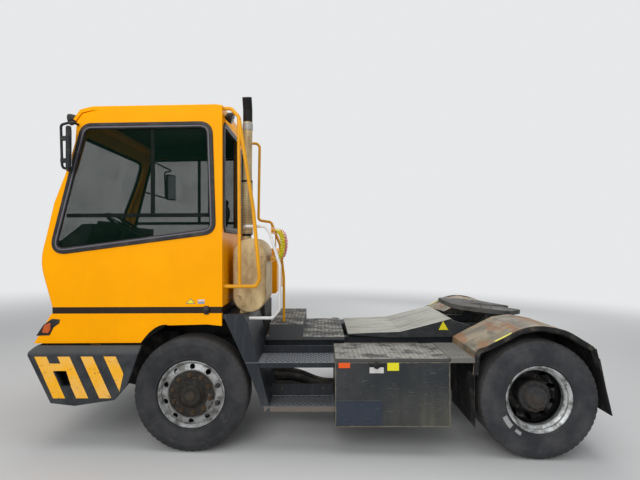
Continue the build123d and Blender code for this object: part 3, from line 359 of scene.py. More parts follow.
def arch_shadow(x, y, z):
    """Painted shadow on the sheet's edge round the front wheel: below a line that rises as a parabola from
    the bumper.
    """
    back = (x - 0.442).least(0.0)
    below = z < 0.964 - back * 1.50 + back * back * -3.35
    return (abs(y) > SKIRT_INSIDE) * (x < 0.455) * (x > 0.200) * below


# Zone colours: the darker yellow on the cab's inner faces and on the door jamb is painted shade; the lining
# and the arch liner are dark; arch_shadow is a painted shadow.
cab_zones = ((inside_cab, rgb(206, 144, 14)), (cab_lining, rgb(34, 38, 38)), (door_jamb, rgb(190, 128, 10)),
             (arch_liner, rgb(14, 14, 15)), (arch_shadow, rgb(16, 15, 14)))
step_zones = ((tread_tops, rgb(124, 127, 132)), (step_edge, rgb(110, 99, 92)))
cab_paint = worn_paint("cab_paint", rgb(255, 168, 0), dust=0.05, streak=0.035, chips=0.1, roughness=0.34,
                       gloss=0.05, dust_top=0.35, dust_colour=rgb(176, 128, 60), fade=0.035, zones=cab_zones)
rail_yellow = worn_paint("rail_yellow", rgb(240, 168, 18), dust=0.12, streak=0.12, chips=0.7,
                         chip_colour=rgb(112, 70, 40))
frame_paint = worn_paint("frame_paint", rgb(42, 46, 53), dust=0.26, streak=0.12, roughness=0.5,
                         dust_colour=rgb(86, 88, 86))
step_paint = worn_paint("step_paint", rgb(38, 42, 48), dust=0.18, streak=0.10, chips=0.5, roughness=0.5,
                        dust_colour=rgb(122, 126, 128), zones=step_zones)
white_paint = worn_paint("white_paint", rgb(226, 226, 224), dust=0.12, streak=0.05, roughness=0.38,
                         dust_colour=rgb(150, 140, 125))
stripe_black = worn_paint("stripe_black", rgb(36, 21, 6), dust=0.02, streak=0.03, chips=0.0, roughness=0.4)
print("paints:", [m.name for m in bpy.data.materials])

# %% [markdown]
# Some plates have a look of their own. The lid box has been scraped along its bottom and rain
# has left green streaks; its edges are rubbed to brown. The distance to the nearest edge of a
# box is the second smallest of the distances to its faces, which is worked out with least and
# most, and noise makes the rubbed line ragged.


# %% Rubbed edges of a box
def edge_distance(finish, low, high):
    """Distance to a box's nearest edge: of the three distances to its faces, the second smallest."""
    x, y, z = finish.level()
    gaps = [(v - a).least(b - v) for v, a, b in zip((x, y, z), low, high)]
    smaller, larger = gaps[0].least(gaps[1]), gaps[0].most(gaps[1])
    return smaller.most(larger.least(gaps[2])).most(0.0)


BOX_LOW, BOX_HIGH = (-2.312, 0.605, 0.230), (-1.295, 1.248, 0.800)
SHELF_FRONT = -2.318
PATCH_REAR, PATCH_FRONT, PATCH_TOP = -1.712, -1.303, 0.460


def box_steel():
    """Dark paint with green rain streaks, pale scrapes and brown rubbed edges."""
    finish = Finish("box_steel", rgb(46, 48, 50), 0.5)
    x, _, z = finish.level()
    run = finish.patches(2.6, 4, 0.40, 0.75, (5, 5, 0.8))
    rear, low = finish.rise(x, -1.55, -2.25), finish.rise(z, 0.66, 0.25)
    patch = (x > PATCH_REAR) * (z < PATCH_TOP + 0.002) * (z > 0.244) * (x < PATCH_FRONT)
    top = finish.rise(finish.facing_up(), 0.6, 0.8) * finish.rise(finish.noise(9, 5), 0.3, 0.6, 0.5, 1.0)
    scrape = finish.patches(26, 3, 0.66, 0.7, (0.35, 1, 6), (0.3, 0, 0))
    rubbed = finish.rise(edge_distance(finish, BOX_LOW, BOX_HIGH) + finish.noise(30, 4) * 0.022, 0.024, 0.011)
    shelf = x < SHELF_FRONT
    rubbed = rubbed * (x > SHELF_FRONT) * (z < 0.803)
    base = finish.blend(finish.patches(2.2, 4, 0.35, 0.65), rgb(42, 46, 50), rgb(58, 60, 62))
    base = finish.layered(base, ((run * 0.5 + 0.3) * rear * low, 100, 98, 84), (run * 0.12, 92, 92, 84),
                          (patch * 0.8, 50, 58, 72), (top, 104, 102, 94), (scrape * 0.55, 128, 130, 128),
                          (rubbed * 0.8, 132, 124, 108), (shelf * (z > 0.79), 112, 110, 104))
    finish.bump(finish.noise(70, 3) * 0.3 + rubbed * 0.5, 0.0007)
    return finish.use(colour=base, roughness=finish.rise(run + rubbed, 0, 1, 0.46, 0.8))


def guard_steel():
    """Mudguard sheet: grey paint worn through to rust, olive grime where water stands, and painted shade low
    inside, on faces that look down and on its outer lip.
    """
    finish = Finish("guard_steel", rgb(96, 92, 84), 0.7)
    x, y, z = finish.level()
    olive = finish.patches(3.1, 4, 0.42, 0.62, shift=(3, 1, 0)) * finish.rise(x, -3.0, -2.6)
    rust = finish.patches(3.2, 7, 0.46, 0.60, (1.6, 0.5, 1.6), (0, 4, 0), 0.68)
    slate = finish.patches(4.5, 6, 0.52, 0.62, (1.8, 0.4, 1.8), (6, 0, 2), 0.7)
    # Painted shade: near black low inside the guard (shaded), on faces that look down (under) and on the
    # outer lip (edge).
    shaded = (z < 0.812) * (x > -2.560) * (abs(y) < 1.205)
    under = finish.rise(finish.facing_up(), 0.02, 0.0)
    edge = (abs(y) > 1.2265) * finish.rise(abs(finish.normal()[1]), 0.6, 0.8)
    flap = (x < -3.600) * (z < 0.845)
    base = finish.blend(finish.patches(3.2, 6, 0.40, 0.60, (1, 1.6, 1), rough=0.7), rgb(118, 114, 104),
                        rgb(160, 148, 128))
    base = finish.layered(base, (olive * 0.7, 122, 116, 86), (rust * 0.65, 158, 112, 80),
                          (slate * 0.6, 92, 92, 90), (shaded, 15, 15, 16), (under * 0.95, 16, 16, 17),
                          (edge * 0.97, 14, 14, 15), (flap, 30, 30, 31))
    finish.bump(finish.noise(60, 4) + rust * 0.5, 0.0012)
    return finish.use(colour=base, roughness=finish.rise(rust, 0, 1, 0.6, 0.9))


def trodden_steel(name, dark, light, wear=0.5):
    """Plate that boots and tyres rub: dark paint in the lows, grey steel where it is rubbed."""
    finish = Finish(name, dark, 0.6)
    rubbed = finish.patches(5, 6, 0.62 - wear * 0.35, 0.78 - wear * 0.35, (1, 1.4, 1), rough=0.7)
    fine = finish.noise(48, 4, (1, 0.25, 1))
    top = finish.rise(finish.facing_up(), 0.5, 0.9)
    base = finish.blend(rubbed * top * finish.rise(fine, 0.3, 0.6, 0.6, 1.0), dark, light)
    base = finish.layered(base, (finish.patches(17, 5, 0.60, 0.68, shift=(2, 0, 1)) * 0.45, 108, 84, 64))
    finish.bump(fine + rubbed, 0.0008)
    return finish.use(colour=base, roughness=finish.rise(rubbed, 0, 1, 0.72, 0.5),
                      metallic=rubbed * top * 0.35)


box_finish = box_steel()
guard_finish = guard_steel()
deck_finish = trodden_steel("deck_steel", rgb(72, 74, 75), rgb(154, 151, 142))
step_finish = trodden_steel("step_steel", rgb(64, 68, 74), rgb(126, 128, 130), 0.35)
lid_finish = trodden_steel("lid_steel", rgb(76, 76, 75), rgb(146, 144, 136), 0.65)

# %% [markdown]
# The boom carries a trailer's nose up its ramp, so the ramp is scoured pale along its length
# while the cheeks keep their dark paint. The bumper is painted with leaning yellow bands, which
# here are a repeating step along a leaning line, kept to the ends and the face of the bumper.

# %% Boom and bumper
BAND_PERIOD, BAND_WIDTH, BAND_LEAN, BAND_START = 0.2045, 0.107, 0.455, 1.367
BAND_TOP, BAND_LOW = 0.858, 0.470


def boom_steel():
    """Scoured ramp on top, dark paint with dirt on the sides."""
    finish = Finish("boom_steel", rgb(52, 55, 58), 0.55)
    top = finish.rise(finish.facing_up(), 0.6, 0.9)
    scour = finish.patches(7, 6, 0.30, 0.62, (0.5, 3.2, 0.5), rough=0.72)
    spots = finish.patches(21, 5, 0.60, 0.70, (0.6, 2, 1))
    base = finish.layered(rgb(46, 49, 53), (finish.patches(6, 5, 0.45, 0.7) * 0.4, 84, 84, 80),
                          (top * finish.rise(scour, 0, 1, 0.6, 1.0), 154, 153, 142),
                          (spots * 0.5, 104, 86, 66))
    finish.bump(scour + spots * 0.4, 0.0009)
    return finish.use(colour=base, roughness=finish.rise(top * scour, 0, 1, 0.6, 0.45),
                      metallic=top * scour * 0.35)


def bumper_paint():
    """Dark grey bumper with leaning yellow bands on its ends, mirrored ones on its face, a painted highlight
    along its top and painted shade in the end sockets.
    """
    finish = Finish("bumper_paint", rgb(58, 60, 64), 0.5)
    x, y, z = finish.level()
    ahead, sideways, _ = finish.normal()
    side, face = finish.rise(abs(sideways), 0.7, 0.8), finish.rise(ahead, 0.6, 0.75)
    lean = (BAND_TOP - z) * BAND_LEAN
    place = (BAND_START - x - lean) * side + (abs(y) + lean + 0.06) * face * (1 - side)
    band = (place % BAND_PERIOD) < BAND_WIDTH
    inside = (z < BAND_TOP) * (z > BAND_LOW + 0.02 * side) * side.most(face)
    shown = inside * ((place > 0) * (place < 3.60 * BAND_PERIOD) * side).most(face * (abs(y) > 0.42))
    chamfer = x > 0.579 + abs(z - 0.699) * 0.22
    bridge = (z > 0.730) * (z < 0.797) * (x > 1.095) * (x < 1.235) * side
    # The socket on each end is painted near black: painted shade inside an opening that is not cut.
    below = 0.732 - z
    socket = (below > 0) * (z > 0.600) * (x < 1.190 - below * 0.5) * (x > 1.085 - below * 0.33) * side
    scratch = finish.patches(22, 5, 0.60, 0.66, (0.7, 1, 3.5), rough=0.75)
    worn = finish.patches(26, 6, 0.62, 0.68, (0.6, 1, 1.6))
    yellow = finish.layered(rgb(246, 176, 24), (finish.patches(5, 4, 0.35, 0.7), 240, 184, 84),
                            (scratch * 0.55, 196, 112, 30))
    # The grey lightens towards the top edge: a painted highlight.
    grey = finish.layered(rgb(40, 43, 46), (finish.patches(6, 5, 0.4, 0.65) * 0.5, 72, 75, 78),
                          (finish.rise(z, 0.860, 0.905) * 0.6, 92, 92, 91))
    mask = (shown * band * chamfer.most(1 - side)).most(bridge) * (1 - socket)
    base = finish.layered(finish.blend(mask * (1 - worn * 0.6), grey, yellow), (worn * 0.25, 70, 60, 50),
                          (socket, 12, 12, 13))
    finish.bump(finish.noise(55, 4) * 0.4 - worn * 0.5, 0.0008)
    return finish.use(colour=base, roughness=finish.rise(scratch + worn, 0, 1, 0.42, 0.7))


boom_finish = boom_steel()
bumper_finish = bumper_paint()

# %% [markdown]
# Rims start as silver paint. Brake dust and grease darken the middle, so the colour follows the
# distance from the axle, which needs the wheel's own centre. The front hub is brown and oily,
# the rear one black.


# %% Rims and hubs
def rim_paint(name, centre, dark_radius, silver_depth, silver, hub):
    """Silver outside dark_radius, grimy hub inside it, and painted shade behind silver_depth along the axle.
    """
    finish = Finish(name, rgb(176, 180, 184), 0.42, 0.35)
    radius, _ = finish.about(centre)
    grime = finish.noise(13, 6, rough=0.7)
    silver = finish.blend(finish.rise(grime, 0.38, 0.66), silver, rgb(96, 94, 90))
    hub = finish.blend(finish.rise(grime, 0.35, 0.62), hub, scaled(hub, 1.9))
    inside = finish.rise(radius + (grime - 0.5) * 0.05, dark_radius + 0.012, dark_radius - 0.010)
    rust = finish.patches(30, 5, 0.60, 0.68, shift=(1, 0, 2)) * inside
    smear = finish.patches(7, 5, 0.54, 0.60, (1, 1, 1), (2, 5, 1), 0.55) * inside * (radius > 0.150)
    # Behind the disc the barrel is painted near black: painted shade.
    depth = abs(finish.split(finish.place())[1]) - abs(centre[1])
    shade = finish.rise(depth, silver_depth, silver_depth - 0.010) * (radius > dark_radius - 0.015)
    base = finish.layered(finish.blend(inside, silver, hub), (rust * 0.5, 96, 72, 48),
                          (smear * 0.5, 128, 127, 124), (shade, 20, 20, 21))
    finish.bump(grime, 0.0008)
    return finish.use(colour=base, roughness=finish.rise(inside, 0, 1, 0.40, 0.62),
                      metallic=finish.rise(inside, 0, 1, 0.45, 0.1))


front_centre, rear_centre = middle("front_tyre_left"), middle("rear_tyre_outer_left")
front_rim_finish = rim_paint("front_rim_paint", front_centre, 0.211, 0.076,
                             rgb(166, 168, 168), rgb(33, 31, 28))
rear_rim_finish = rim_paint("rear_rim_paint", rear_centre, 0.247, 0.020, rgb(208, 210, 210), rgb(34, 34, 35))
WALL_MARKS = ((0.345, -0.593, 0.024, 0.165), (0.341, -0.973, 0.015, 0.090))


def tyre_rubber(name, centre, tone=1.0, marks=()):
    """Scuffed grey black rubber; a mark is its radius, its angle, and half its height and angle."""
    finish = Finish(name, rgb(40, 41, 44), 0.72)
    radius, angle = finish.about(centre)
    scuff = finish.patches(18, 5, 0.56, 0.72, shift=(5, 0, 0))
    tread = finish.rise(radius, centre[2] - 0.030, centre[2] - 0.004)
    fresh, worn = scaled(rgb(39, 40, 43), tone), scaled(rgb(58, 58, 60), tone)
    base = finish.blend(finish.patches(5, 5, 0.35, 0.7), fresh, worn)
    base = finish.layered(base, (scuff * 0.3, 86, 82, 74), (tread * 0.45, 76, 73, 68))
    ragged = finish.noise(50, 3) * 0.010
    for mark_radius, mark_angle, half_height, half_angle in marks:
        across = finish.rise(abs(radius - mark_radius) + ragged, half_height + 0.006, half_height)
        along = finish.rise(abs(angle - mark_angle) + ragged * 3, half_angle + 0.02, half_angle)
        base = finish.layered(base, (across * along * 0.8, 176, 176, 176))
    finish.bump(finish.noise(120, 3) + scuff, 0.0004)
    return finish.use(colour=base, roughness=finish.rise(scuff, 0, 1, 0.66, 0.85))


front_rubber = tyre_rubber("front_tyre_rubber", front_centre)
rear_rubber = tyre_rubber("rear_tyre_rubber", rear_centre, 1.6)
marked_rubber = tyre_rubber("marked_tyre_rubber", rear_centre, 1.6, WALL_MARKS)

# %% [markdown]
# The silencer has gone from bright to tan with heat and rain. The stack above it wears a
# punched guard: its holes are a grid of dots painted dark, the shade inside them, one step round
# the pipe and one step up, wide enough to read at this distance. The remaining finishes are
# simpler: iron under oil, chrome, rubber, plastic, glass and lamp lenses.


# %% Heat, oil, rubber and glass
STACK_X, STACK_Y, SLEEVE_LOW, SLEEVE_HIGH = -0.463, 0.900, 1.94, 2.46
HOLES_ROUND, HOLES_PER_METRE = 24, 62
RIB_RATE, THREAD_RATE = 900.0, 1900.0


def silencer_steel():
    """Straw coloured steel, punched guard between its two heights with its holes painted as dark shade,
    bright clamp, black tip.
    """
    finish = Finish("silencer_steel", rgb(132, 122, 108), 0.55, 0.3)
    x, y, z = finish.level()
    spots = finish.patches(26, 6, 0.61, 0.67, rough=0.75)
    around = finish.maths("ARCTAN2", y - STACK_Y, x - STACK_X) * (HOLES_ROUND / (2 * math.pi))
    dot_a, dot_b = abs((around % 1.0) - 0.5), abs(((z * HOLES_PER_METRE) % 1.0) - 0.5)
    sleeve = (z > SLEEVE_LOW) * (z < SLEEVE_HIGH)
    # The holes are dark dots: painted shade inside holes that are not cut.
    hole = finish.rise(finish.maths("SQRT", dot_a * dot_a + dot_b * dot_b), 0.34, 0.26) * sleeve
    clamp = (z > 2.945) * (z < 3.015)
    collar = (z > 1.925) * (z < 1.950) + (z > 2.442) * (z < 2.464)
    tip = finish.rise(z, 3.02, 3.03)
    base = finish.blend(finish.patches(7, 6, 0.35, 0.68, (1, 1, 0.5), rough=0.7), rgb(204, 182, 138),
                        rgb(156, 130, 92))
    base = finish.layered(base, (spots * 0.7, 120, 84, 48), (hole * 0.85, 26, 24, 22), (clamp, 172, 170, 164),
                          (collar, 30, 28, 27), (tip, 28, 27, 27))
    finish.bump(spots - hole, 0.001)
    return finish.use(colour=base, roughness=finish.rise(tip + spots, 0, 1, 0.5, 0.75),
                      metallic=finish.rise(tip, 0, 1, 0.35, 0.0))


def grimy_iron(name, colour, oil=0.4):
    """Cast or forged iron under road dirt and oil."""
    finish = Finish(name, colour, 0.6, 0.1)
    wet = finish.patches(4, 4, 0.5, 0.65, shift=(3, 3, 0)) * oil
    dirt = finish.patches(6, 6, 0.42, 0.62, rough=0.7)
    base = finish.layered(colour, (dirt * 0.6, 78, 66, 54), (wet, 20, 19, 18))
    finish.bump(finish.noise(50, 5), 0.0015)
    return finish.use(colour=base, roughness=finish.rise(wet, 0, 1, 0.75, 0.35))


def moulded(name, colour, roughness=0.55, grain=260, depth=0.0002, dusty=0.25, metallic=0.0):
    """Moulded plastic or rubber with a fine grain and a little dust on top."""
    finish = Finish(name, colour, roughness, metallic)
    soil = finish.patches(9, 5, 0.45, 0.75) * dusty + finish.facing_up() * dusty * 0.5
    finish.bump(finish.noise(grain, 2), depth)
    return finish.use(colour=finish.blend(soil, colour, DUST),
                      roughness=finish.rise(soil, 0, 0.6, roughness, 0.85))


def lens(name, colour, alpha=0.9):
    """Ribbed lamp lens: narrow waves across it."""
    finish = Finish(name, colour, 0.12, coat_weight=0.6, coat_roughness=0.05)
    finish.bump(finish.maths("SINE", finish.level()[2] * RIB_RATE), 0.0006)
    tone = finish.blend(finish.patches(20, 3, 0.3, 0.7) * 0.35, colour, scaled(colour, 0.5))
    return finish.use(colour=tone, alpha=alpha)


def glass_pane():
    """Green tinted safety glass with a thin haze; it mirrors nothing, so that the panes have no specks."""
    finish = Finish("cab_glass", rgb(14, 33, 25), 0.04, ior=1.5, specular_ior_level=0.0)
    haze = finish.patches(3, 5, 0.40, 0.75)
    return finish.use(alpha=finish.rise(haze, 0, 1, 0.38, 0.44),
                      roughness=finish.rise(haze, 0, 1, 0.03, 0.12))


silencer_finish = silencer_steel()
axle_iron = grimy_iron("axle_iron", rgb(44, 42, 40))
engine_iron = grimy_iron("engine_iron", rgb(66, 68, 70), 0.7)
plate_iron = grimy_iron("plate_iron", rgb(91, 91, 89), 0.7)
bolt_steel = grimy_iron("bolt_steel", rgb(92, 84, 76), 0.2)
rear_hub_iron = grimy_iron("rear_hub_iron", rgb(64, 65, 67), 0.5)
nut_rust = grimy_iron("nut_rust", rgb(78, 62, 46), 0.3)
window_rubber = moulded("window_rubber", rgb(38, 37, 40), 0.5)
filler_rubber = moulded("filler_rubber", rgb(104, 101, 110), 0.45)
black_plastic = moulded("black_plastic", rgb(30, 31, 33), 0.5)
dash_plastic = moulded("dash_plastic", rgb(38, 44, 46), 0.6, dusty=0.3)
flap_rubber = moulded("flap_rubber", rgb(32, 32, 34), 0.8, 120, 0.0005, 0.35)
chrome_rod = moulded("chromed_rod", rgb(196, 198, 200), 0.12, 400, 0.00005, 0.05, metallic=1.0)
mirror_face = moulded("mirror_face", rgb(205, 210, 214), 0.03, 50, 0.00001, 0.03, metallic=1.0)
orange_lens = lens("orange_lens", rgb(206, 92, 24))
red_lens = lens("red_lens", rgb(176, 18, 16))
clear_lens = lens("clear_lens", rgb(208, 214, 216), 0.45)
orange_sticker = moulded("orange_reflector", rgb(236, 92, 30), 0.3, 500, 0.0002, 0.2)
yellow_sticker = moulded("yellow_sticker", rgb(232, 222, 40), 0.35, 300, 0.00005, 0.12)
pale_sticker = moulded("pale_sticker", rgb(206, 204, 202), 0.4, 300, 0.00005, 0.3)
grease_film = moulded("grease_film", rgb(34, 31, 28), 0.75, 60, 0.0006, 0.1)
blue_sticker = moulded("blue_sticker", rgb(120, 150, 190), 0.4, 300, 0.00005, 0.2)
plate_white = moulded("plate_white", rgb(214, 214, 210), 0.35, 300, 0.00005, 0.2)
glass = glass_pane()
print(len(bpy.data.materials), "finishes")

# %% [markdown]
# Each CAD node keeps its shape and gets its finish in its material slot. A short table names
# the nodes of each finish; left and right pairs are written once.

# %% Finishes of the CAD nodes
node_finish = {
    cab_paint: ["cab_side_*", "cab_front", "cab_rear", "cab_roof", "cab_door", "side_skirt_*",
                "front_apron", "engine_cover"],
    rail_yellow: ["handrail_yellow", "entry_rail"],
    white_paint: ["handrail_white"],
    stripe_black: ["cab_floor"],
    frame_paint: ["frame_rail_*", "pivot_crossmember", "tail_crossmember", "lift_barrel_*", "fuel_tank"],
    step_paint: ["step_frame"],
    box_finish: ["tool_box"],
    lid_finish: ["box_lid"],
    deck_finish: ["deck"],
    guard_finish: ["mudguard_*"],
    boom_finish: ["lift_boom"],
    bumper_finish: ["front_bumper"],
    plate_iron: ["fifth_wheel"],
    front_rim_finish: ["front_rim_*"],
    rear_rim_finish: ["rear_rims_*"],
    axle_iron: ["front_axle", "rear_axle", "knuckle_*"],
    engine_iron: ["engine"],
    silencer_finish: ["exhaust"],
    chrome_rod: ["lift_rod_*"],
    glass: ["glass_left", "glass_right", "glass_rear", "glass_door", "windscreen"],
    black_plastic: ["mirror_*", "steering_wheel"],
    dash_plastic: ["dashboard"],
}


def paint_node(name, finish):
    """Put a finish in a CAD node's first slot."""
    mesh = nodes[name].data
    mesh.materials.clear()
    mesh.materials.append(finish.material)


for finish, names in node_finish.items():
    for name in names:
        for full in sorted({name.replace("*", side) for side, _ in SIDES}):
            paint_node(full, finish)

# %% [markdown]
# New pieces are grids of points worked out at once by numpy. A shape here is a pair: an array
# of points and a list of faces. skin lays quads over a grid, and the other helpers only work
# out where the grid's points are: turned round an axis, carried along a path, or between the
# corners of a block.


# %% Surfaces from arrays
def unit(vectors):
    """Vectors scaled to length one."""
    vectors = np.asarray(vectors, float)
    return vectors / np.linalg.norm(vectors, axis=-1, keepdims=True)


def skin(points, wrap_rows=False, wrap_columns=False, cap=False):
    """Quads over a grid of points; a wrapped way joins its ends, and cap closes the first and last row."""
    rows, columns = points.shape[:2]
    index = np.arange(rows * columns).reshape(rows, columns)
    ends = [index[0][::-1].tolist(), index[-1].tolist()] if cap else []
    if wrap_rows:
        index = np.vstack([index, index[:1]])
    if wrap_columns:
        index = np.hstack([index, index[:, :1]])
    quads = np.stack([index[:-1, :-1], index[1:, :-1], index[1:, 1:], index[:-1, 1:]], axis=-1)
    return points.reshape(-1, 3), quads.reshape(-1, 4).tolist() + ends


def merged(shapes):
    """Several shapes as one; each shape's face numbers go up by the points before it."""
    points, faces, start = [], [], 0
    for shape_points, shape_faces in shapes:
        points.append(shape_points)
        faces += [[i + start for i in face] for face in shape_faces]
        start += len(shape_points)
    return np.vstack(points), faces


def turned(profile, centre, axis, segments=32, closed=False):
    """A profile of (radius, height) turned round an axis: c + r cos(t) a + r sin(t) b + h n."""
    n = unit(axis)
    a = unit(np.cross(n, (0, 0, 1) if abs(n[2]) < 0.9 else (1, 0, 0)))
    b = np.cross(n, a)
    angle = np.linspace(0, 2 * math.pi, segments, endpoint=False)
    ring = np.cos(angle)[:, None] * a + np.sin(angle)[:, None] * b
    radius, height = np.asarray(profile, float).T
    points = np.asarray(centre, float) + radius[:, None, None] * ring + height[:, None, None] * n
    return skin(points, closed, True, not closed)


def blocks(rows):
    """Blocks of the level chassis between corners (x0, x1, y0, y1, z0, z1)."""
    rows = np.asarray(rows, float).reshape(-1, 6)
    pick = np.array([[x, y, z] for x in (0, 1) for y in (2, 3) for z in (4, 5)])
    points = chassis(rows[:, pick]).reshape(-1, 3)
    faces = np.array([[0, 1, 3, 2], [4, 6, 7, 5], [0, 4, 5, 1], [2, 3, 7, 6], [0, 2, 6, 4], [1, 5, 7, 3]])
    return points, (faces + 8 * np.arange(len(rows))[:, None, None]).reshape(-1, 4).tolist()


def slab(outline, way):
    """A flat outline of points given thickness along a vector: two faces and a wall."""
    outline = np.asarray(outline, float)
    return skin(np.stack([outline, outline + np.asarray(way, float)]), False, True, True)


def side_outline(outline, y):
    """Side view points (x, z) at a distance y from the middle."""
    flat = np.asarray(outline, float)
    return chassis(np.stack([flat[:, 0], np.full(len(flat), y), flat[:, 1]], axis=1))


def side_sheet(outline, y, thickness):
    """A side view outline given a thickness across the machine."""
    return slab(side_outline(outline, y), (0, thickness, 0))


def repeated(shape, offsets):
    """Copies of a shape moved by each offset."""
    points, faces = shape
    offsets = np.asarray(offsets, float)
    moved = points[None] + offsets[:, None, :]
    starts = range(0, len(points) * len(offsets), len(points))
    return moved.reshape(-1, 3), [[i + start for i in face] for start in starts for face in faces]


def tube(path, radius, across, sides=12):
    """A round section carried along a path; across is a way that the path never takes."""
    path = np.asarray(path, float)
    along = unit(np.gradient(path, axis=0))
    side = unit(np.cross(across, along))
    up = np.cross(along, side)
    angle = np.linspace(0, 2 * math.pi, sides, endpoint=False)
    ring = np.cos(angle)[:, None] * side[:, None] + np.sin(angle)[:, None] * up[:, None]
    return skin(path[:, None] + np.reshape(radius, (-1, 1, 1)) * ring, False, True, True)


def rounded(corners, reach, steps=7, closed=True):
    """An outline whose corners are parabolas that start and end at reach from each corner."""
    p = np.asarray(corners, float)
    before, after = unit(np.roll(p, 1, 0) - p), unit(np.roll(p, -1, 0) - p)
    reach = np.broadcast_to(np.reshape(reach, (-1, 1)), (len(p), 1))
    t = np.linspace(0, 1, steps)[:, None, None]
    curve = (1 - t) ** 2 * (p + before * reach) + 2 * t * (1 - t) * p + t ** 2 * (p + after * reach)
    curve = curve.transpose(1, 0, 2)
    if closed:
        return curve.reshape(-1, p.shape[1])
    return np.vstack([p[:1], curve[1:-1].reshape(-1, p.shape[1]), p[-1:]])


def carried(path, normal, section):
    """A closed section carried round a closed path: p + out * side + up * normal."""
    path, normal = np.asarray(path, float), np.broadcast_to(unit(normal), np.shape(path))
    along = unit(np.roll(path, -1, 0) - np.roll(path, 1, 0))
    side = unit(np.cross(along, normal))
    centre = path.mean(axis=0)
    side = side * np.sign(((path - centre) * side).sum())
    out, up = np.asarray(section, float).T
    points = path[:, None] + out[:, None] * side[:, None] + up[:, None] * normal[:, None]
    return skin(points, True, True)


SHARP = math.radians(38)
made_pieces = {}


def piece(name, shape, finish, body="chassis", bevel=0.0):
    """A mesh piece with a finish that rides on a body; its normals point out and steep edges are sharp."""
    points, faces = shape
    mesh = bpy.data.meshes.new(name)
    mesh.from_pydata(np.asarray(points).tolist(), [], faces)
    work = bmesh.new()
    work.from_mesh(mesh)
    bmesh.ops.recalc_face_normals(work, faces=work.faces)
    work.to_mesh(mesh)
    work.free()
    mesh.polygons.foreach_set("use_smooth", [True] * len(mesh.polygons))
    mesh.set_sharp_from_angle(angle=SHARP)
    mesh.materials.append(finish.material)
    made = bpy.data.objects.new(name, mesh)
    bpy.context.scene.collection.objects.link(made)
    if bevel:
        soft = made.modifiers.new("edges", "BEVEL")
        soft.width, soft.segments, soft.limit_method, soft.harden_normals = bevel, 2, "ANGLE", False
    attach(made, body)
    made_pieces[name] = len(mesh.polygons)
    return made

# %% [markdown]
# The two air lines behind the cab are curly polyurethane tubes, one yellow and one red, that
# leave an upper port, hang out rearwards in a C and come back to a lower port. The route is a
# smooth NURBS line through the same points as the CAD tube. The helix is wound round points
# read from that line, and is itself the hose's spline.

# %% The curled air lines
PORT_X, PORT_LOW, PORT_HIGH = -0.716, 1.705, 1.985
COIL_Y = {"yellow": 0.800, "red": 0.500}
COIL_SHAPE = ((0, 0), (0.045, 0), (0.072, 0.16), (0.082, 0.38), (0.080, 0.62), (0.068, 0.84), (0.042, 1),
              (0, 1))
HOSE_DIAMETER = 0.008
TURN_RADIUS = 0.0255
TURNS = 25
TURN_POINTS = 14
COIL_PAINT = {"yellow": rgb(226, 216, 30), "red": rgb(206, 24, 62)}


def open_spline(name, points):
    """A curve of one open NURBS spline of order three that starts and ends at its end points."""
    data = bpy.data.curves.new(name, "CURVE")
    data.dimensions = "3D"
    line = data.splines.new("NURBS")
    line.points.add(len(points) - 1)
    line.points.foreach_set("co", np.hstack([points, np.ones((len(points), 1))]).ravel())
    line.order_u = 3
    line.use_endpoint_u = True
    return data


def spline_points(name, points, count):
    """Evenly spaced points along the NURBS line through a route's points."""
    data = open_spline(name, points)
    data.splines[0].resolution_u = 24
    holder = bpy.data.objects.new(name, data)
    mesh = bpy.data.meshes.new_from_object(holder)
    dense = np.zeros(len(mesh.vertices) * 3)
    mesh.vertices.foreach_get("co", dense)
    dense = dense.reshape(-1, 3)
    run = np.concatenate([[0], np.cumsum(np.linalg.norm(np.diff(dense, axis=0), axis=1))])
    bpy.data.objects.remove(holder)
    bpy.data.meshes.remove(mesh)
    at = np.linspace(0, run[-1], count)
    return np.stack([np.interp(at, run, dense[:, k]) for k in range(3)], axis=1), run[-1]


def curly_line(colour):
    """Helix round the route: route(s) + r(s) (cos a side + sin a up), with r growing from 0 at both ports."""
    y, drop = COIL_Y[colour], PORT_HIGH - PORT_LOW
    route = chassis([(PORT_X - out, y, PORT_HIGH - down * drop) for out, down in COIL_SHAPE])
    count = TURNS * TURN_POINTS + 1
    line, length = spline_points("route_" + colour, route, count)
    share = np.linspace(0, 1, count)
    along = unit(np.gradient(line, axis=0))
    side = np.array([0.0, 1.0, 0.0])
    up = np.cross(along, side)
    grow = np.clip(np.minimum(share, 1 - share) / 0.075 - 0.35, 0, 1)
    grow = grow * grow * (3 - 2 * grow)
    angle = 2 * math.pi * TURNS * share
    helix = line + TURN_RADIUS * grow[:, None] * (np.cos(angle)[:, None] * side + np.sin(angle)[:, None] * up)
    data = open_spline("air_line_" + colour, helix)
    data.bevel_depth = HOSE_DIAMETER / 2
    data.bevel_resolution = 2
    data.splines[0].resolution_u = 2
    hose = bpy.data.objects.new("air_line_" + colour, data)
    bpy.context.scene.collection.objects.link(hose)
    finish = moulded("air_line_paint_" + colour, COIL_PAINT[colour], 0.25, 300, 0.00005, 0.12)
    data.materials.append(finish.material)
    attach(hose, "chassis")
    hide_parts("air_coil_" + colour)
    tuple(helix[0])


for colour in COIL_Y:
    curly_line(colour)

# %% [markdown]
# A yard tyre is a wide, worn rib tyre. Its section is drawn once from bead to bead: bead ridge,
# bulging wall with a raised ring, round shoulder, and a flat tread with four grooves. Turning
# the section gives a grid of angle by section point, and every fourth step the shoulder points
# are pulled in, which makes the notches. The CAD tyre is hidden. The CAD tyre stays as the
# collision shape.

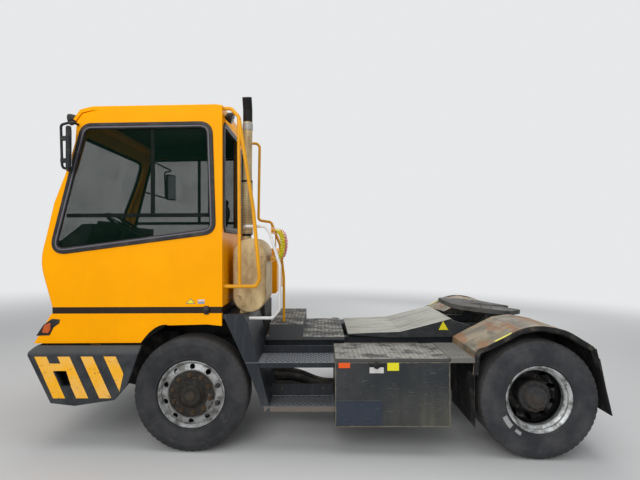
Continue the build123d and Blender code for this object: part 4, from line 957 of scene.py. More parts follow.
# %% Tyres
TYRE_STEPS = 224
GROOVES = (-0.072, -0.025, 0.025, 0.072)
GROOVE_HALF, GROOVE_DEPTH, NOTCH_DEPTH = 0.006, 0.008, 0.006
BEAD_WALL = ((0.2998, 0.106), (0.306, 0.122), (0.313, 0.1315), (0.321, 0.1330), (0.325, 0.1310),
             (0.345, 0.1375), (0.372, 0.1415))
SHOULDER_WALL = ((0.105, 0.1420), (0.078, 0.1405), (0.072, 0.1424), (0.062, 0.1424), (0.056, 0.1395),
                 (0.038, 0.1370), (0.020, 0.1310), (0.009, 0.1210), (0.004, 0.1080))


def tyre_section(radius):
    """Half section points (radius, width) from bead to crown, mirrored to the other bead."""
    wall = [*BEAD_WALL, *((radius - inward, width) for inward, width in SHOULDER_WALL)]
    tread = []
    for w in sorted(GROOVES, reverse=True):
        tread += [(radius - 0.001, w + GROOVE_HALF), (radius - GROOVE_DEPTH, w + GROOVE_HALF * 0.6),
                  (radius - GROOVE_DEPTH, w - GROOVE_HALF * 0.6), (radius - 0.001, w - GROOVE_HALF)]
    return np.array(wall + tread + [(r, -w) for r, w in wall[::-1]])


def tyre_surface(centre, radius):
    """Section turned round the axle; at every fourth step the shoulder's radius drops by the notch."""
    section = tyre_section(radius)
    shoulder = (np.abs(section[:, 1]) > 0.100) & (section[:, 0] > radius - 0.030)
    angle = np.linspace(0, 2 * math.pi, TYRE_STEPS, endpoint=False)
    notch = (np.arange(TYRE_STEPS) % 4 == 0)
    drop = NOTCH_DEPTH * notch[:, None] * shoulder[None]
    r = section[None, :, 0] - drop
    points = np.stack([r * np.cos(angle)[:, None], np.broadcast_to(section[:, 1], r.shape),
                       r * np.sin(angle)[:, None]], axis=-1)
    return skin(points + np.asarray(centre), True, True)


for side, outer_rubber in (("left", marked_rubber), ("right", rear_rubber)):
    for node, body, finish in (("front_tyre_" + side, "front_wheel_" + side, front_rubber),
                               ("rear_tyre_outer_" + side, "rear_wheels_" + side, outer_rubber),
                               ("rear_tyre_inner_" + side, "rear_wheels_" + side, rear_rubber)):
        centre = middle(node)
        made = piece(node.replace("tyre", "rib_tyre"), tyre_surface(centre, centre[2]), finish, body)
        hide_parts(node)
print("tyre faces", made_pieces["front_rib_tyre_left"])

# %% [markdown]
# Ten nuts hold each wheel, rusty at the front. A nut is a profile turned with six segments, on
# a round washer, with the stud's end showing. Copies are set round the bolt circle by one array
# of offsets. The front hub has a ring of small cap screws, the rear one the half shaft's flange.

# %% Wheel nuts and hub screws
BOLT_CIRCLE, NUT_COUNT, FIRST_NUT = 0.1675, 10, 0.2
FRONT_FACE, FRONT_HUB_FACE, FRONT_CAP_FACE, REAR_FACE = 0.104, 0.126, 0.151, 0.0
HUB_RING_FACE, HUB_CAP_FACE = 0.196, 0.244
FRONT_SCREW_CIRCLE, RING_NUT_CIRCLE, CAP_SCREW_CIRCLE = 0.098, 0.124, 0.068
HUB_END = ((0.100, 0.150), (0.1385, 0.152), (0.1385, 0.164), (0.134, 0.168), (0.1385, 0.172), (0.1385, 0.184),
           (0.134, 0.188), (0.136, 0.194), (0.130, HUB_RING_FACE), (0.112, HUB_RING_FACE), (0.106, 0.206),
           (0.098, 0.232), (0.090, HUB_CAP_FACE), (0.046, HUB_CAP_FACE), (0.040, 0.252), (0.014, 0.254))


def nut(centre, axis, across=0.032, height=0.024, stud=0.010):
    """Washer, hexagon and stud end on one axis."""
    r = across / math.sqrt(3)
    washer = turned([(r * 1.22, 0), (r * 1.22, height * 0.18), (r * 1.05, height * 0.24)], centre, axis, 20)
    body = turned([(r, height * 0.2), (r, height * 0.88), (r * 0.86, height)], centre, axis, 6)
    tip = height + stud
    end = turned([(r * 0.5, height * 0.9), (r * 0.5, tip), (r * 0.4, tip + stud * 0.3)], centre, axis, 10)
    return merged([washer, body, end])


def round_circle(shape, radius, count, start=0.0):
    """Copies of a shape made at the wheel's centre, on a circle in the wheel's plane."""
    angle = start + np.arange(count) * 2 * math.pi / count
    return repeated(shape, np.stack([radius * np.cos(angle), 0 * angle, radius * np.sin(angle)], axis=1))


for side, out in SIDES:
    axle = (0, out, 0)
    centre, body = middle("front_tyre_" + side), "front_wheel_" + side
    wheel_nut = nut(centre + (0, out * FRONT_FACE, 0), axle)
    screw = turned([(0.007, 0), (0.007, 0.006), (0.005, 0.008)],
                   centre + (0, out * FRONT_HUB_FACE, 0), axle, 6)
    cap = turned([(0.044, 0), (0.042, 0.010), (0.030, 0.016), (0.012, 0.018)],
                 centre + (0, out * FRONT_CAP_FACE, 0), axle, 32)
    nuts = round_circle(wheel_nut, BOLT_CIRCLE, NUT_COUNT, FIRST_NUT)
    screws = merged([round_circle(screw, FRONT_SCREW_CIRCLE, 12), cap])
    piece("front_wheel_nuts_" + side, nuts, nut_rust, body)
    piece("front_hub_screws_" + side, screws, axle_iron, body)
    centre, body = middle("rear_rims_" + side), "rear_wheels_" + side
    wheel_nut = nut(centre + (0, out * REAR_FACE, 0), axle)
    ring_nut = nut(centre + (0, out * HUB_RING_FACE, 0), axle, 0.022, 0.016, 0.006)
    screw = turned([(0.008, 0), (0.008, 0.009), (0.006, 0.011)], centre + (0, out * HUB_CAP_FACE, 0), axle, 6)
    nuts = round_circle(wheel_nut, BOLT_CIRCLE, NUT_COUNT, FIRST_NUT)
    screws = merged([round_circle(ring_nut, RING_NUT_CIRCLE, 12), round_circle(screw, CAP_SCREW_CIRCLE, 10)])
    piece("rear_wheel_nuts_" + side, nuts, bolt_steel, body)
    piece("rear_hub_end_" + side, turned(HUB_END, centre, axle, 60), rear_hub_iron, body)
    piece("rear_hub_screws_" + side, screws, rear_hub_iron, body)

# %% [markdown]
# Window rubbers are H section gaskets with a filler strip pressed into their groove. The
# section is carried round each opening's outline: over the body outside, down to the glass
# inside. The side windows have four unequal corners, the others are plain rounded rectangles.

# %% Window rubbers
CAB_LEFT, CAB_RIGHT, CAB_REAR, CAB_WALL = 1.215, -0.385, -0.290, 0.040
SIDE_WINDOW = ((0.947, 2.908), (-0.175, 2.922), (-0.205, 1.968), (1.232, 1.781))
RUBBER = ((0.030, 0.0005), (0.030, 0.006), (0.024, 0.012), (0.002, 0.014), (-0.003, 0.010), (-0.016, 0.010),
          (-0.020, 0.0135), (-0.0245, 0.011), (-0.026, 0.002), (-0.026, -0.0096), (-0.003, -0.0096),
          (-0.003, 0.0005))
FILLER = ((-0.0035, 0.0103), (-0.0045, 0.0128), (-0.0145, 0.0128), (-0.0155, 0.0103))
FRONT_LINE = ((1.3194, 1.8238), (1.295, 1.918), (1.223, 2.228), (1.095, 2.560), (1.035, 2.778),
              (1.023, 2.959))


def corner_reach(corners, radius):
    """How far from each corner an arc of that radius starts: radius / tan(half the angle)."""
    p = np.asarray(corners, float)
    before, after = unit(np.roll(p, 1, 0) - p), unit(np.roll(p, -1, 0) - p)
    half = np.arccos(np.clip((before * after).sum(-1), -1, 1)) / 2
    return radius / np.tan(half)


def side_rubber(y, out):
    """Line round a side window at wall face y, and the way out."""
    return side_outline(rounded(SIDE_WINDOW, corner_reach(SIDE_WINDOW, 0.090), 9), y), (0, out, 0)


def back_rubber(y0, y1, z0, z1, x):
    """Line round a window of the rear wall, and the way out."""
    flat = rounded([(y0, z0), (y1, z0), (y1, z1), (y0, z1)], 0.066, 7)
    return chassis(np.stack([np.full(len(flat), x), flat[:, 0], flat[:, 1]], axis=1)), turned_way(-1, 0, 0)


def front_x(z):
    """The cab front's line at a height."""
    line = np.array(FRONT_LINE)
    return np.interp(z, line[:, 1], line[:, 0])


def screen_rubber():
    """Line round the windscreen on the cab's bent front, and the way out at each point."""
    y0, y1 = CAB_RIGHT + CAB_WALL + 0.070, CAB_LEFT - CAB_WALL - 0.070
    corners = [(y0, 1.830), (y1, 1.830), (y1, 2.850), (y0, 2.850)]
    flat = rounded(corners, 0.088, 7)
    flat = np.vstack([flat[i] + (flat[(i + 1) % len(flat)] - flat[i]) * np.linspace(0, 1, 6)[:-1, None]
                      for i in range(len(flat))])
    x = front_x(flat[:, 1])
    slope = (front_x(flat[:, 1] + 0.01) - front_x(flat[:, 1] - 0.01)) / 0.02
    path = chassis(np.stack([x, flat[:, 0], flat[:, 1]], axis=1))
    return path, turned_way(1.0, 0.0, -slope)


for name, (path, way), body in (
        ("side_left", side_rubber(CAB_LEFT, 1), "chassis"),
        ("side_right", side_rubber(CAB_RIGHT, -1), "chassis"),
        ("rear_window", back_rubber(0.490, 1.150, 1.985, 2.940, CAB_REAR), "chassis"),
        ("door_window", back_rubber(-0.250, 0.315, 1.700, 2.870, CAB_REAR - 0.002), "door"),
        ("windscreen", screen_rubber(), "chassis")):
    piece("rubber_" + name, carried(path, way, RUBBER), window_rubber, body)
    piece("filler_" + name, carried(path, way, FILLER), filler_rubber, body)
print("rubber faces", made_pieces["rubber_side_left"])

# %% [markdown]
# Behind the left pane two dark bars divide it: one along its lower part, one upright that the
# rear half slides past. They are plain pressed bars, so blocks with softened edges will do.

# %% Window bars
BAR_Y = CAB_LEFT - 0.018
bars = [(-0.190, 1.115, BAR_Y - 0.018, BAR_Y, 2.094, 2.129),
        (0.322, 0.358, BAR_Y - 0.016, BAR_Y, 2.129, 2.900),
        (-0.165, 0.322, BAR_Y - 0.012, BAR_Y, 2.888, 2.904),
        (-0.172, -0.158, BAR_Y - 0.012, BAR_Y, 2.129, 2.890)]
piece("window_bars_left", blocks(bars), window_rubber, bevel=0.003)
mirrored_bars = [(x0, x1, CAB_RIGHT + 0.018, CAB_RIGHT + 0.034, z0, z1) for x0, x1, _, _, z0, z1 in bars[:2]]
piece("window_bars_right", blocks(mirrored_bars), window_rubber, bevel=0.003)

# %% [markdown]
# The driver's seat is a foam cushion and back under cloth. Each is a rounded block: a grid over
# two angles pushed towards a box by a power, which is smaller than one. The blocks are then
# puffed up with a short cloth run from inside pressure, as a cover round foam is, and the
# sewn channels are pressed in afterwards. A head rest and the plastic base finish it.

# %% Seat cloth
SEAT_MIDDLE = 0.570


def seat_cloth():
    """Dark woven cloth: two fine crossing waves for the threads, dust on top."""
    finish = Finish("seat_cloth", rgb(40, 44, 52), 0.9, sheen_weight=0.25, sheen_roughness=0.5)
    x, y, z = finish.level()
    warp, weft = finish.maths("SINE", (x + z) * THREAD_RATE), finish.maths("SINE", y * THREAD_RATE)
    weave = warp * weft
    base = finish.blend(finish.rise(weave, -0.5, 0.8), rgb(32, 35, 42), rgb(58, 62, 72))
    base = finish.blend(finish.patches(7, 5, 0.45, 0.75) * 0.3, base, DUST)
    finish.bump(weave, 0.0005)
    return finish.use(colour=base, roughness=finish.rise(weave, -1, 1, 0.85, 0.95))


def cushion(middle_place, half, lean, roundness=0.38, rings=28, spokes=44):
    """Rounded block: half * sign(c) |c| ** roundness of a sphere's points, leaned about Y."""
    v = np.linspace(-math.pi / 2 + 0.02, math.pi / 2 - 0.02, rings)
    u = np.linspace(0, 2 * math.pi, spokes, endpoint=False)
    power = lambda a: np.sign(a) * np.abs(a) ** roundness
    ring, height = np.cos(v)[:, None], np.sin(v)[:, None]
    x = half[0] * power(ring) * power(np.cos(u))
    y = half[1] * power(ring) * power(np.sin(u))
    z = half[2] * power(height) * np.ones_like(u)
    c, s = math.cos(lean), math.sin(lean)
    points = np.stack([x * c + z * s, y, z * c - x * s], axis=-1) + middle_place
    return skin(chassis(points), False, True, True)


def puffed(name, shape, finish, swell, channels, fill):
    """Voxel remesh, a short cloth run with pressure, a cap on how far points go, then sewn channels."""
    made = piece(name, shape, finish)
    bpy.context.view_layer.objects.active = made
    remesh = made.modifiers.new("voxels", "REMESH")
    remesh.mode, remesh.voxel_size = "VOXEL", 0.012
    bake(made)
    start = vertex_array(made)
    cloth = made.modifiers.new("cloth", "CLOTH")
    cloth.settings.use_pressure, cloth.settings.uniform_pressure_force = True, 4.0
    cloth.settings.effector_weights.gravity = 0.0
    for step in range(1, 16):
        bpy.context.scene.frame_set(step)
    bake(made)
    bpy.context.scene.frame_set(1)
    move = vertex_array(made) - start
    reach = np.linalg.norm(move, axis=1, keepdims=True)
    capped = start + move * np.minimum(1, swell / np.maximum(reach, 1e-9))
    made.data.vertices.foreach_set("co", capped.astype(np.float32).ravel())
    points = vertex_array(made)
    middle_point = points.mean(axis=0)
    for axis, place, width, depth in channels:
        away = (points[:, axis] - place) / width
        pull = np.exp(-away ** 2)[:, None] * depth
        points = points + (middle_point - points) * pull
    made.data.vertices.foreach_set("co", points.astype(np.float32).ravel())
    made.data.update()
    made.data.polygons.foreach_set("use_smooth", [True] * len(made.data.polygons))
    return made


def vertex_array(made):
    """A piece's points as an array."""
    flat = np.zeros(len(made.data.vertices) * 3)
    made.data.vertices.foreach_get("co", flat)
    return flat.reshape(-1, 3)


def bake(made):
    """Write the modifiers' result into the mesh and drop them."""
    result = bpy.data.meshes.new_from_object(made.evaluated_get(bpy.context.evaluated_depsgraph_get()))
    materials = list(made.data.materials)
    made.modifiers.clear()
    made.data = result
    made.data.materials.clear()
    for material in materials:
        made.data.materials.append(material)


cloth_finish = seat_cloth()
seams = [(1, SEAT_MIDDLE + offset, 0.010, 0.06) for offset in (-0.11, 0.11)]
for name, x, z, half, lean, swell, channels, fill in (
        ("seat_cushion", 0.090, 1.628, (0.215, 0.205, 0.048), -3, 0.012, seams, 0.7),
        ("seat_back", -0.105, 1.975, (0.045, 0.200, 0.300), -13, 0.012, seams, 0.7),
        ("seat_head_rest", -0.168, 2.275, (0.030, 0.120, 0.040), -13, 0.006, (), 0.8)):
    shape = cushion((x, SEAT_MIDDLE, z), half, math.radians(lean))
    puffed(name, shape, cloth_finish, swell, channels, fill)
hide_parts("seat")
seat_shell = [(-0.130, 0.290, SEAT_MIDDLE - 0.190, SEAT_MIDDLE + 0.190, 1.561, 1.590)]
piece("seat_base", blocks(seat_shell), black_plastic, bevel=0.008)
print("seat made")

# %% [markdown]
# The lamps. An indicator wraps each front corner of the skirt, two round headlamps sit deep in
# the bumper's holes, and small lamps look forward and back from the roof's left corner. Tail
# lamps stand on the wings of the rear crossmember. Each is a housing with a lens of its own.

# %% Lamps
LAMP_FRAME = ((1.372, 1.036), (1.308, 1.133), (1.232, 1.187), (1.160, 1.181), (1.165, 1.147),
              (1.217, 1.112), (1.252, 1.040))
LAMP_LENS = ((1.319, 1.066), (1.296, 1.135), (1.241, 1.153), (1.241, 1.092), (1.262, 1.058))
HEAD_Y, HEAD_Z = 0.820, 0.690
HEAD_BOWL = ((0.020, -0.055), (0.060, -0.040), (0.080, -0.005), (0.088, 0.030), (0.0935, 0.034),
             (0.0935, 0.020), (0.084, -0.010), (0.064, -0.048), (0.020, -0.062))
HEAD_LENS = ((0.086, 0.026), (0.084, 0.036), (0.060, 0.042), (0.030, 0.045), (0.006, 0.046))

for side, out in SIDES:
    housing = side_sheet(LAMP_FRAME, out * 1.120, out * 0.101)
    piece("corner_lamp_housing_" + side, housing, black_plastic, bevel=0.004)
    cover = side_sheet(LAMP_LENS, out * 1.135, out * 0.094)
    piece("corner_lamp_lens_" + side, cover, orange_lens, bevel=0.006)
    place, ahead = chassis([1.290, out * HEAD_Y, HEAD_Z]), turned_way(1, 0, 0)
    piece("headlamp_bowl_" + side, turned(HEAD_BOWL, place, ahead, 40, closed=True), mirror_face)
    piece("headlamp_lens_" + side, turned(HEAD_LENS, place, ahead, 40), clear_lens)
    tail = [(-3.585, -3.553, *sorted((out * 0.432, out * 0.512)), 0.674, 0.796)]
    piece("tail_lamp_housing_" + side, blocks(tail), black_plastic, bevel=0.006)
    for colour, finish, z in (("red", red_lens, 0.680), ("orange", orange_lens, 0.738)):
        cover = [(-3.592, -3.584, *sorted((out * 0.438, out * 0.506)), z, z + 0.050)]
        piece("tail_lamp_" + colour + "_" + side, blocks(cover), finish, bevel=0.003)


def work_lamp(place, way, radius=0.052):
    """Round working lamp: cup, rim and a flat lens."""
    cup = turned([(0.018, -0.055), (0.034, -0.050), (radius * 0.92, -0.018), (radius, 0.0), (radius, 0.010),
                  (radius * 0.9, 0.012)], place, way, 32)
    cover = turned([(radius * 0.88, 0.012), (radius * 0.6, 0.016), (0.01, 0.018)], place, way, 32)
    return cup, cover


for name, place, way in (("front", (1.118, 1.120, 2.998), (1, 0, -0.12)),
                         ("rear", (-0.350, 1.070, 3.020), (-1, 0, -0.35))):
    cup, cover = work_lamp(chassis(place), turned_way(*way))
    piece("work_lamp_" + name, cup, black_plastic)
    piece("work_lamp_lens_" + name, cover, clear_lens)
brackets = [(1.010, 1.080, 1.105, 1.135, 2.978, 2.996), (-0.320, -0.288, 1.050, 1.090, 3.000, 3.040)]
piece("work_lamp_brackets", blocks(brackets), black_plastic, bevel=0.003)
gusset = [(-0.288, 3.010), (-0.412, 2.888), (-0.402, 2.872), (-0.288, 2.975)]
piece("rail_gusset", side_sheet(gusset, 1.095, 0.016), rail_yellow, bevel=0.002)

# %% [markdown]
# Where a boot lands the plate is raised in a pattern: small leaning lozenges, each a low
# pyramid of eight faces. One array of places covers a plate, every second row leaning the other
# way. The steps have rows of punched teeth instead, which are short cones with open tops.


# %% Tread pattern
def lozenge(length=0.030, width=0.010, height=0.0022, lean=0.6):
    """A low lozenge with a flat top at the origin, turned by lean about Z."""
    tips = np.array([(length / 2, 0), (0, width / 2), (-length / 2, 0), (0, -width / 2)])
    c, s = math.cos(lean), math.sin(lean)
    tips = tips @ np.array([[c, s], [-s, c]])
    low = np.hstack([tips, np.zeros((4, 1))])
    high = np.hstack([tips * 0.62, np.full((4, 1), height)])
    return skin(np.stack([low, high]), False, True, True)


def tread_pattern(x0, x1, y0, y1, z, pitch=0.042):
    """Lozenges over a level plate, in rows that lean each way in turn."""
    xs, ys = np.arange(x0 + pitch / 2, x1, pitch), np.arange(y0 + pitch / 2, y1, pitch)
    gx, gy = np.meshgrid(xs, ys, indexing="ij")
    odd = (np.add.outer(np.arange(len(xs)), np.arange(len(ys))) % 2).astype(bool)
    shapes = []
    for lean, chosen in ((0.6, odd), (-0.6, ~odd)):
        offsets = np.stack([gx[chosen], gy[chosen], np.full(chosen.sum(), z)], axis=1)
        shapes.append(repeated(lozenge(lean=lean), offsets))
    points, faces = merged(shapes)
    return chassis(points), faces


def tooth(radius=0.010, height=0.006):
    """A punched tooth: an open topped cone."""
    return turned([(radius, 0.0), (radius * 0.62, height), (radius * 0.42, height), (radius * 0.5, 0.0005)],
                  (0, 0, 0), (0, 0, 1), 8, closed=True)


def step_teeth(x0, x1, y0, y1, z, pitch=0.050):
    """Teeth over a step, alternate rows moved half a pitch."""
    xs, ys = np.arange(x0 + pitch / 2, x1 - pitch / 2, pitch), np.arange(y0 + pitch / 2, y1, pitch * 0.8)
    gx, gy = np.meshgrid(xs, ys, indexing="ij")
    gx = gx + (np.arange(len(ys)) % 2) * pitch / 2
    offsets = np.stack([gx.ravel(), gy.ravel(), np.full(gx.size, z)], axis=1)
    points, faces = repeated(tooth(), offsets)
    return chassis(points), faces


DECK_TOP, RISER_TOP, LID_TOP = 0.890, 1.022, 0.832
for name, x0, x1, y0, y1, z, finish, body in (
        ("deck_tread", -1.405, -1.000, -0.560, 0.570, DECK_TOP, deck_finish, "chassis"),
        ("riser_tread", -0.975, -0.650, -0.540, 0.575, RISER_TOP, deck_finish, "chassis"),
        ("shelf_tread", -2.520, -2.325, 0.620, 1.235, LID_TOP, lid_finish, "chassis"),
        ("lid_tread", -2.290, -1.315, 0.635, 1.235, LID_TOP, lid_finish, "box_lid")):
    piece(name, tread_pattern(x0, x1, y0, y1, z), finish, body)
piece("low_step_teeth", step_teeth(-1.275, -0.715, 0.945, 1.195, LOW_STEP_TOP), step_finish)
piece("mid_step_teeth", step_teeth(-1.275, -0.640, 0.870, 1.195, MID_STEP_TOP), step_finish)
print("tread faces", made_pieces["lid_tread"], made_pieces["low_step_teeth"])

# %% [markdown]
# Small things on the box and the boom, all blank: an orange reflector, a pale and a yellow
# label, the black rubber latch, a welded patch low at the front, and a yellow triangle on the
# boom's cheek. A label is a plate a millimetre thick that lies on what carries it.

# %% Labels, latch and patch
BOX_FACE = BOX_HIGH[1]


def side_plates(rows, out=1):
    """Thin plates on a side face: (x0, x1, y face, thickness, z0, z1)."""
    return blocks([(x0, x1, *sorted((out * y, out * (y + t))), z0, z1) for x0, x1, y, t, z0, z1 in rows])


for name, row, finish, bevel in (
        ("box_reflector", (-1.428, -1.326, BOX_FACE, 0.005, 0.750, 0.796), orange_sticker, 0.002),
        ("box_label_yellow", (-1.860, -1.757, BOX_FACE, 0.0012, 0.725, 0.795), yellow_sticker, 0.0),
        ("box_label_pale", (-1.725, -1.600, BOX_FACE, 0.0012, 0.704, 0.756), pale_sticker, 0.0)):
    piece(name, side_plates([row]), finish, bevel=bevel)
latch_knob = turned([(0.030, 0.0), (0.030, 0.010), (0.022, 0.017), (0.006, 0.019)],
                    chassis((-1.662, BOX_FACE, 0.772)), (0, 1, 0), 24)
latch_strap = side_plates([(-1.735, -1.594, BOX_FACE, 0.006, 0.758, 0.790)])
piece("box_latch", merged([latch_knob, latch_strap]), black_plastic, bevel=0.002)
patch = side_plates([(PATCH_REAR, PATCH_FRONT, BOX_FACE, 0.003, 0.246, PATCH_TOP)])
piece("box_patch", patch, box_finish, bevel=0.001)
weld = [(x, BOX_FACE + 0.002, PATCH_TOP + 0.0015 * math.sin(60 * x))
        for x in np.linspace(PATCH_REAR, PATCH_FRONT, 60)]
piece("box_weld", tube(chassis(weld), 0.004, (0, 1, 0), 8), box_finish)
triangle = [(-2.452, 1.036), (-2.404, 0.944), (-2.506, 0.943)]
piece("boom_triangle", side_sheet(triangle, 0.505, 0.0012), yellow_sticker, "boom")

# %% [markdown]
# Round the wheels hang thin black sheets: an inner liner up to each mudguard's line, a rubber
# flap behind each twin wheel and a black flap before it, which also stands for the shade there,
# a shield inside the front wheel, and a black band along the guard's edge, a smooth line through
# the corners of its sheet, which stands for the shade under the sheet's edge. A strip of yellow
# paint is left on the guard's outer edge. All are flat outlines in side view, given a thickness.

# %% Guard liners and flaps
LINER = ((-2.546, 0.875), (-2.651, 0.931), (-2.786, 0.997), (-2.944, 1.076), (-3.124, 1.103), (-3.338, 1.064),
         (-3.480, 0.970), (-3.480, 0.800), (-2.560, 0.800))
FLAP = ((-3.612, 0.912), (-3.640, 0.800), (-3.748, 0.321), (-3.738, 0.318), (-3.630, 0.796), (-3.598, 0.905))
SHIELD = ((0.300, 0.950), (0.620, 0.950), (1.000, 0.900), (1.000, 0.450), (0.700, 0.380), (0.420, 0.560),
          (0.300, 0.760))
STRIP = ((-2.720, 0.974), (-2.786, 1.006), (-2.870, 1.048), (-2.870, 1.050), (-2.786, 1.008), (-2.720, 0.976))
EDGE_LINE = ((-2.523, 0.683), (-2.546, 0.885), (-2.651, 0.941), (-2.786, 1.007), (-2.944, 1.086),
             (-3.124, 1.113), (-3.338, 1.074), (-3.500, 0.985), (-3.593, 0.926))


def curve_through(points, steps=8):
    """Catmull-Rom line: each run is a cubic whose end slopes are half the step between its neighbours."""
    p = np.asarray(points, float)
    p = np.vstack([2 * p[0] - p[1], p, 2 * p[-1] - p[-2]])
    t = np.linspace(0, 1, steps, endpoint=False)[None, :, None]
    a, b, c, d = (p[i:len(p) - 3 + i, None] for i in range(4))
    line = b + 0.5 * t * (c - a + t * (2 * a - 5 * b + 4 * c - d + t * (3 * (b - c) + d - a)))
    return np.vstack([line.reshape(-1, p.shape[1]), p[-2:-1]])


def edge_band(line, depth):
    """A closed outline between a line and the same line moved by depth towards the wheel."""
    along = unit(np.gradient(line, axis=0))
    inner = line + depth * np.stack([-along[:, 1], along[:, 0]], axis=1)
    return np.vstack([line, inner[::-1]])


shade_band_outline = edge_band(curve_through(EDGE_LINE), 0.040)
for side, out in SIDES:
    piece("guard_liner_" + side, side_sheet(LINER, out * 0.531, out * 0.004), flap_rubber)
    piece("mud_flap_" + side, side_sheet(FLAP, out * 0.600, out * 0.640), flap_rubber, bevel=0.002)
    # A black band along the guard's edge: painted shade under the sheet's edge.
    piece("guard_edge_" + side, side_sheet(shade_band_outline, out * 1.2352, out * 0.006), flap_rubber)
    piece("guard_strip_" + side, side_sheet(STRIP, out * 1.204, out * 0.030), yellow_sticker)
    # A black rubber flap before the twin wheel, which also stands for the shade between box and tyre.
    front_shade_flap = [(-2.536, -2.530, *sorted((out * 0.540, out * 1.230)), 0.215, 0.700)]
    piece("front_shade_flap_" + side, blocks(front_shade_flap), flap_rubber, bevel=0.002)
    piece("splash_shield_" + side, side_sheet(SHIELD, out * 0.548, out * 0.004), flap_rubber)
print("edge faces", made_pieces["guard_edge_left"])

# %% [markdown]
# The cab wears a few small things: on its left wall a blank yellow triangle, a small pale and
# blue label, and a black rubber latch across the stripe; a mirror glass in each housing; two
# wipers parked on the windscreen; and a grip with its lock on the door. Each lies on the face
# that carries it.

# %% Labels, mirror glass, wipers and door lock
cab_triangle = [(0.036, 1.318), (-0.050, 1.318), (-0.009, 1.366)]
inner_triangle = [(0.026, 1.3225), (-0.040, 1.3225), (-0.009, 1.3585)]
piece("cab_triangle_edge", side_sheet(cab_triangle, CAB_LEFT, 0.001), filler_rubber)
piece("cab_triangle", side_sheet(inner_triangle, CAB_LEFT + 0.001, 0.0006), yellow_sticker)
piece("cab_label_pale", side_plates([(-0.133, -0.073, CAB_LEFT, 0.001, 1.338, 1.356)]), pale_sticker)
piece("cab_label_blue", side_plates([(-0.133, -0.073, CAB_LEFT, 0.001, 1.318, 1.334)]), blue_sticker)
for side, out in SIDES:
    strap = side_plates([(-0.172, -0.128, 1.2155, 0.008, 1.222, 1.298)], out)
    knob = turned([(0.026, 0), (0.026, 0.010), (0.018, 0.018), (0.005, 0.020)],
                  chassis((-0.150, out * 1.222, 1.262)), (0, out, 0), 24)
    piece("skirt_latch_" + side, merged([strap, knob]), black_plastic, bevel=0.002)

MIRROR_TURN = math.radians(29)
for side, out in SIDES:
    ahead = np.array([math.cos(MIRROR_TURN), out * math.sin(MIRROR_TURN), 0])
    across = np.array([-out * math.sin(MIRROR_TURN), math.cos(MIRROR_TURN), 0])
    back = np.array([1.020, out * 1.335, 2.6825]) - ahead * 0.0215
    flat = rounded([(-0.070, -0.168), (0.070, -0.168), (0.070, 0.168), (-0.070, 0.168)], 0.024, 6)
    outline = chassis(back + flat[:, :1] * across + flat[:, 1:] * np.array([0, 0, 1.0]))
    piece("mirror_glass_" + side, slab(outline, turned_way(*(-ahead * 0.003))), mirror_face)


def screen_point(y, z, out):
    """A place on the windscreen's outer face, moved out by some metres."""
    return chassis((front_x(z) + out - 0.008, y, z))


wipers = []
for y0, y1 in ((0.420, 0.060), (1.020, 0.700)):
    arm = [screen_point(y0 + (y1 - y0) * t, 1.830 + 0.055 * t, 0.020 + 0.008 * math.sin(math.pi * t))
           for t in np.linspace(0, 1, 9)]
    wipers.append(tube(arm, 0.006, (0, 0, 1), 8))
    blade = [screen_point(y1 - 0.28 + 0.56 * t, 1.862 + 0.02 * t, 0.017) for t in np.linspace(0, 1, 13)]
    wipers.append(tube(blade, 0.009, (0, 0, 1), 6))
    wipers.append(turned([(0.022, -0.010), (0.022, 0.014), (0.014, 0.020)], screen_point(y0, 1.830, 0.006),
                         turned_way(1, 0, 0.25), 20))
piece("wipers", merged(wipers), black_plastic)
lock = [(-0.3035, -0.2905, 0.330, 0.368, 1.800, 1.930), (-0.316, -0.300, 0.336, 0.362, 1.862, 1.900)]
piece("door_lock", blocks(lock), black_plastic, "door", bevel=0.003)

# %% [markdown]
# The cover beside the cab breathes through louvres: rows of slats over a black field in its outer
# wall, which stands for the shade behind them. Two black hatches lie on its top. The tank has a
# screw cap, and the fifth wheel its pull handle, grease nipples and a ring of grease. The tail
# carries a blank number plate.

# %% Louvres, tank cap, plate and pull handle
COVER_SIDE, COVER_TOP = -1.215, 1.790
LOUVRE_FRONTS = (-0.480, -0.060, 0.360)
slats = [(x, x + 0.360, COVER_SIDE - 0.008, COVER_SIDE + 0.002, z, z + 0.012)
         for x in LOUVRE_FRONTS for z in np.arange(1.400, 1.660, 0.026)]
piece("cover_louvres", blocks(slats), cab_paint, bevel=0.002)
# A black field behind the slats: painted shade.
fields = [(x - 0.015, x + 0.375, COVER_SIDE - 0.003, COVER_SIDE + 0.002, 1.385, 1.675) for x in LOUVRE_FRONTS]
piece("louvre_shadow", blocks(fields), black_plastic)
hatches = [(x, x + 0.130, -0.980, -0.620, COVER_TOP, COVER_TOP + 0.010) for x in (-0.380, 0.340)]
piece("cover_hatches", blocks(hatches), black_plastic, bevel=0.003)
tank_cap = turned([(0.050, -0.030), (0.052, 0.0), (0.052, 0.022), (0.046, 0.028), (0.010, 0.030)],
                  chassis((-1.362, -0.900, 0.815)), turned_way(0, 0, 1), 12)
piece("tank_cap", tank_cap, black_plastic, bevel=0.002)
PLATE_TILT = math.radians(6)
TILT_COS, TILT_SIN = math.cos(PLATE_TILT), math.sin(PLATE_TILT)
PLATE_PIVOT = (-3.000, 0.0, 1.040)


def on_plate(points):
    """Row places of points in the fifth wheel's frame: (x, z) turned by its tilt, then moved to its pivot."""
    x, y, z = np.moveaxis(np.asarray(points, float), -1, 0)
    level = np.stack([x * TILT_COS - z * TILT_SIN, y, z * TILT_COS + x * TILT_SIN], axis=-1)
    return chassis(level + PLATE_PIVOT)


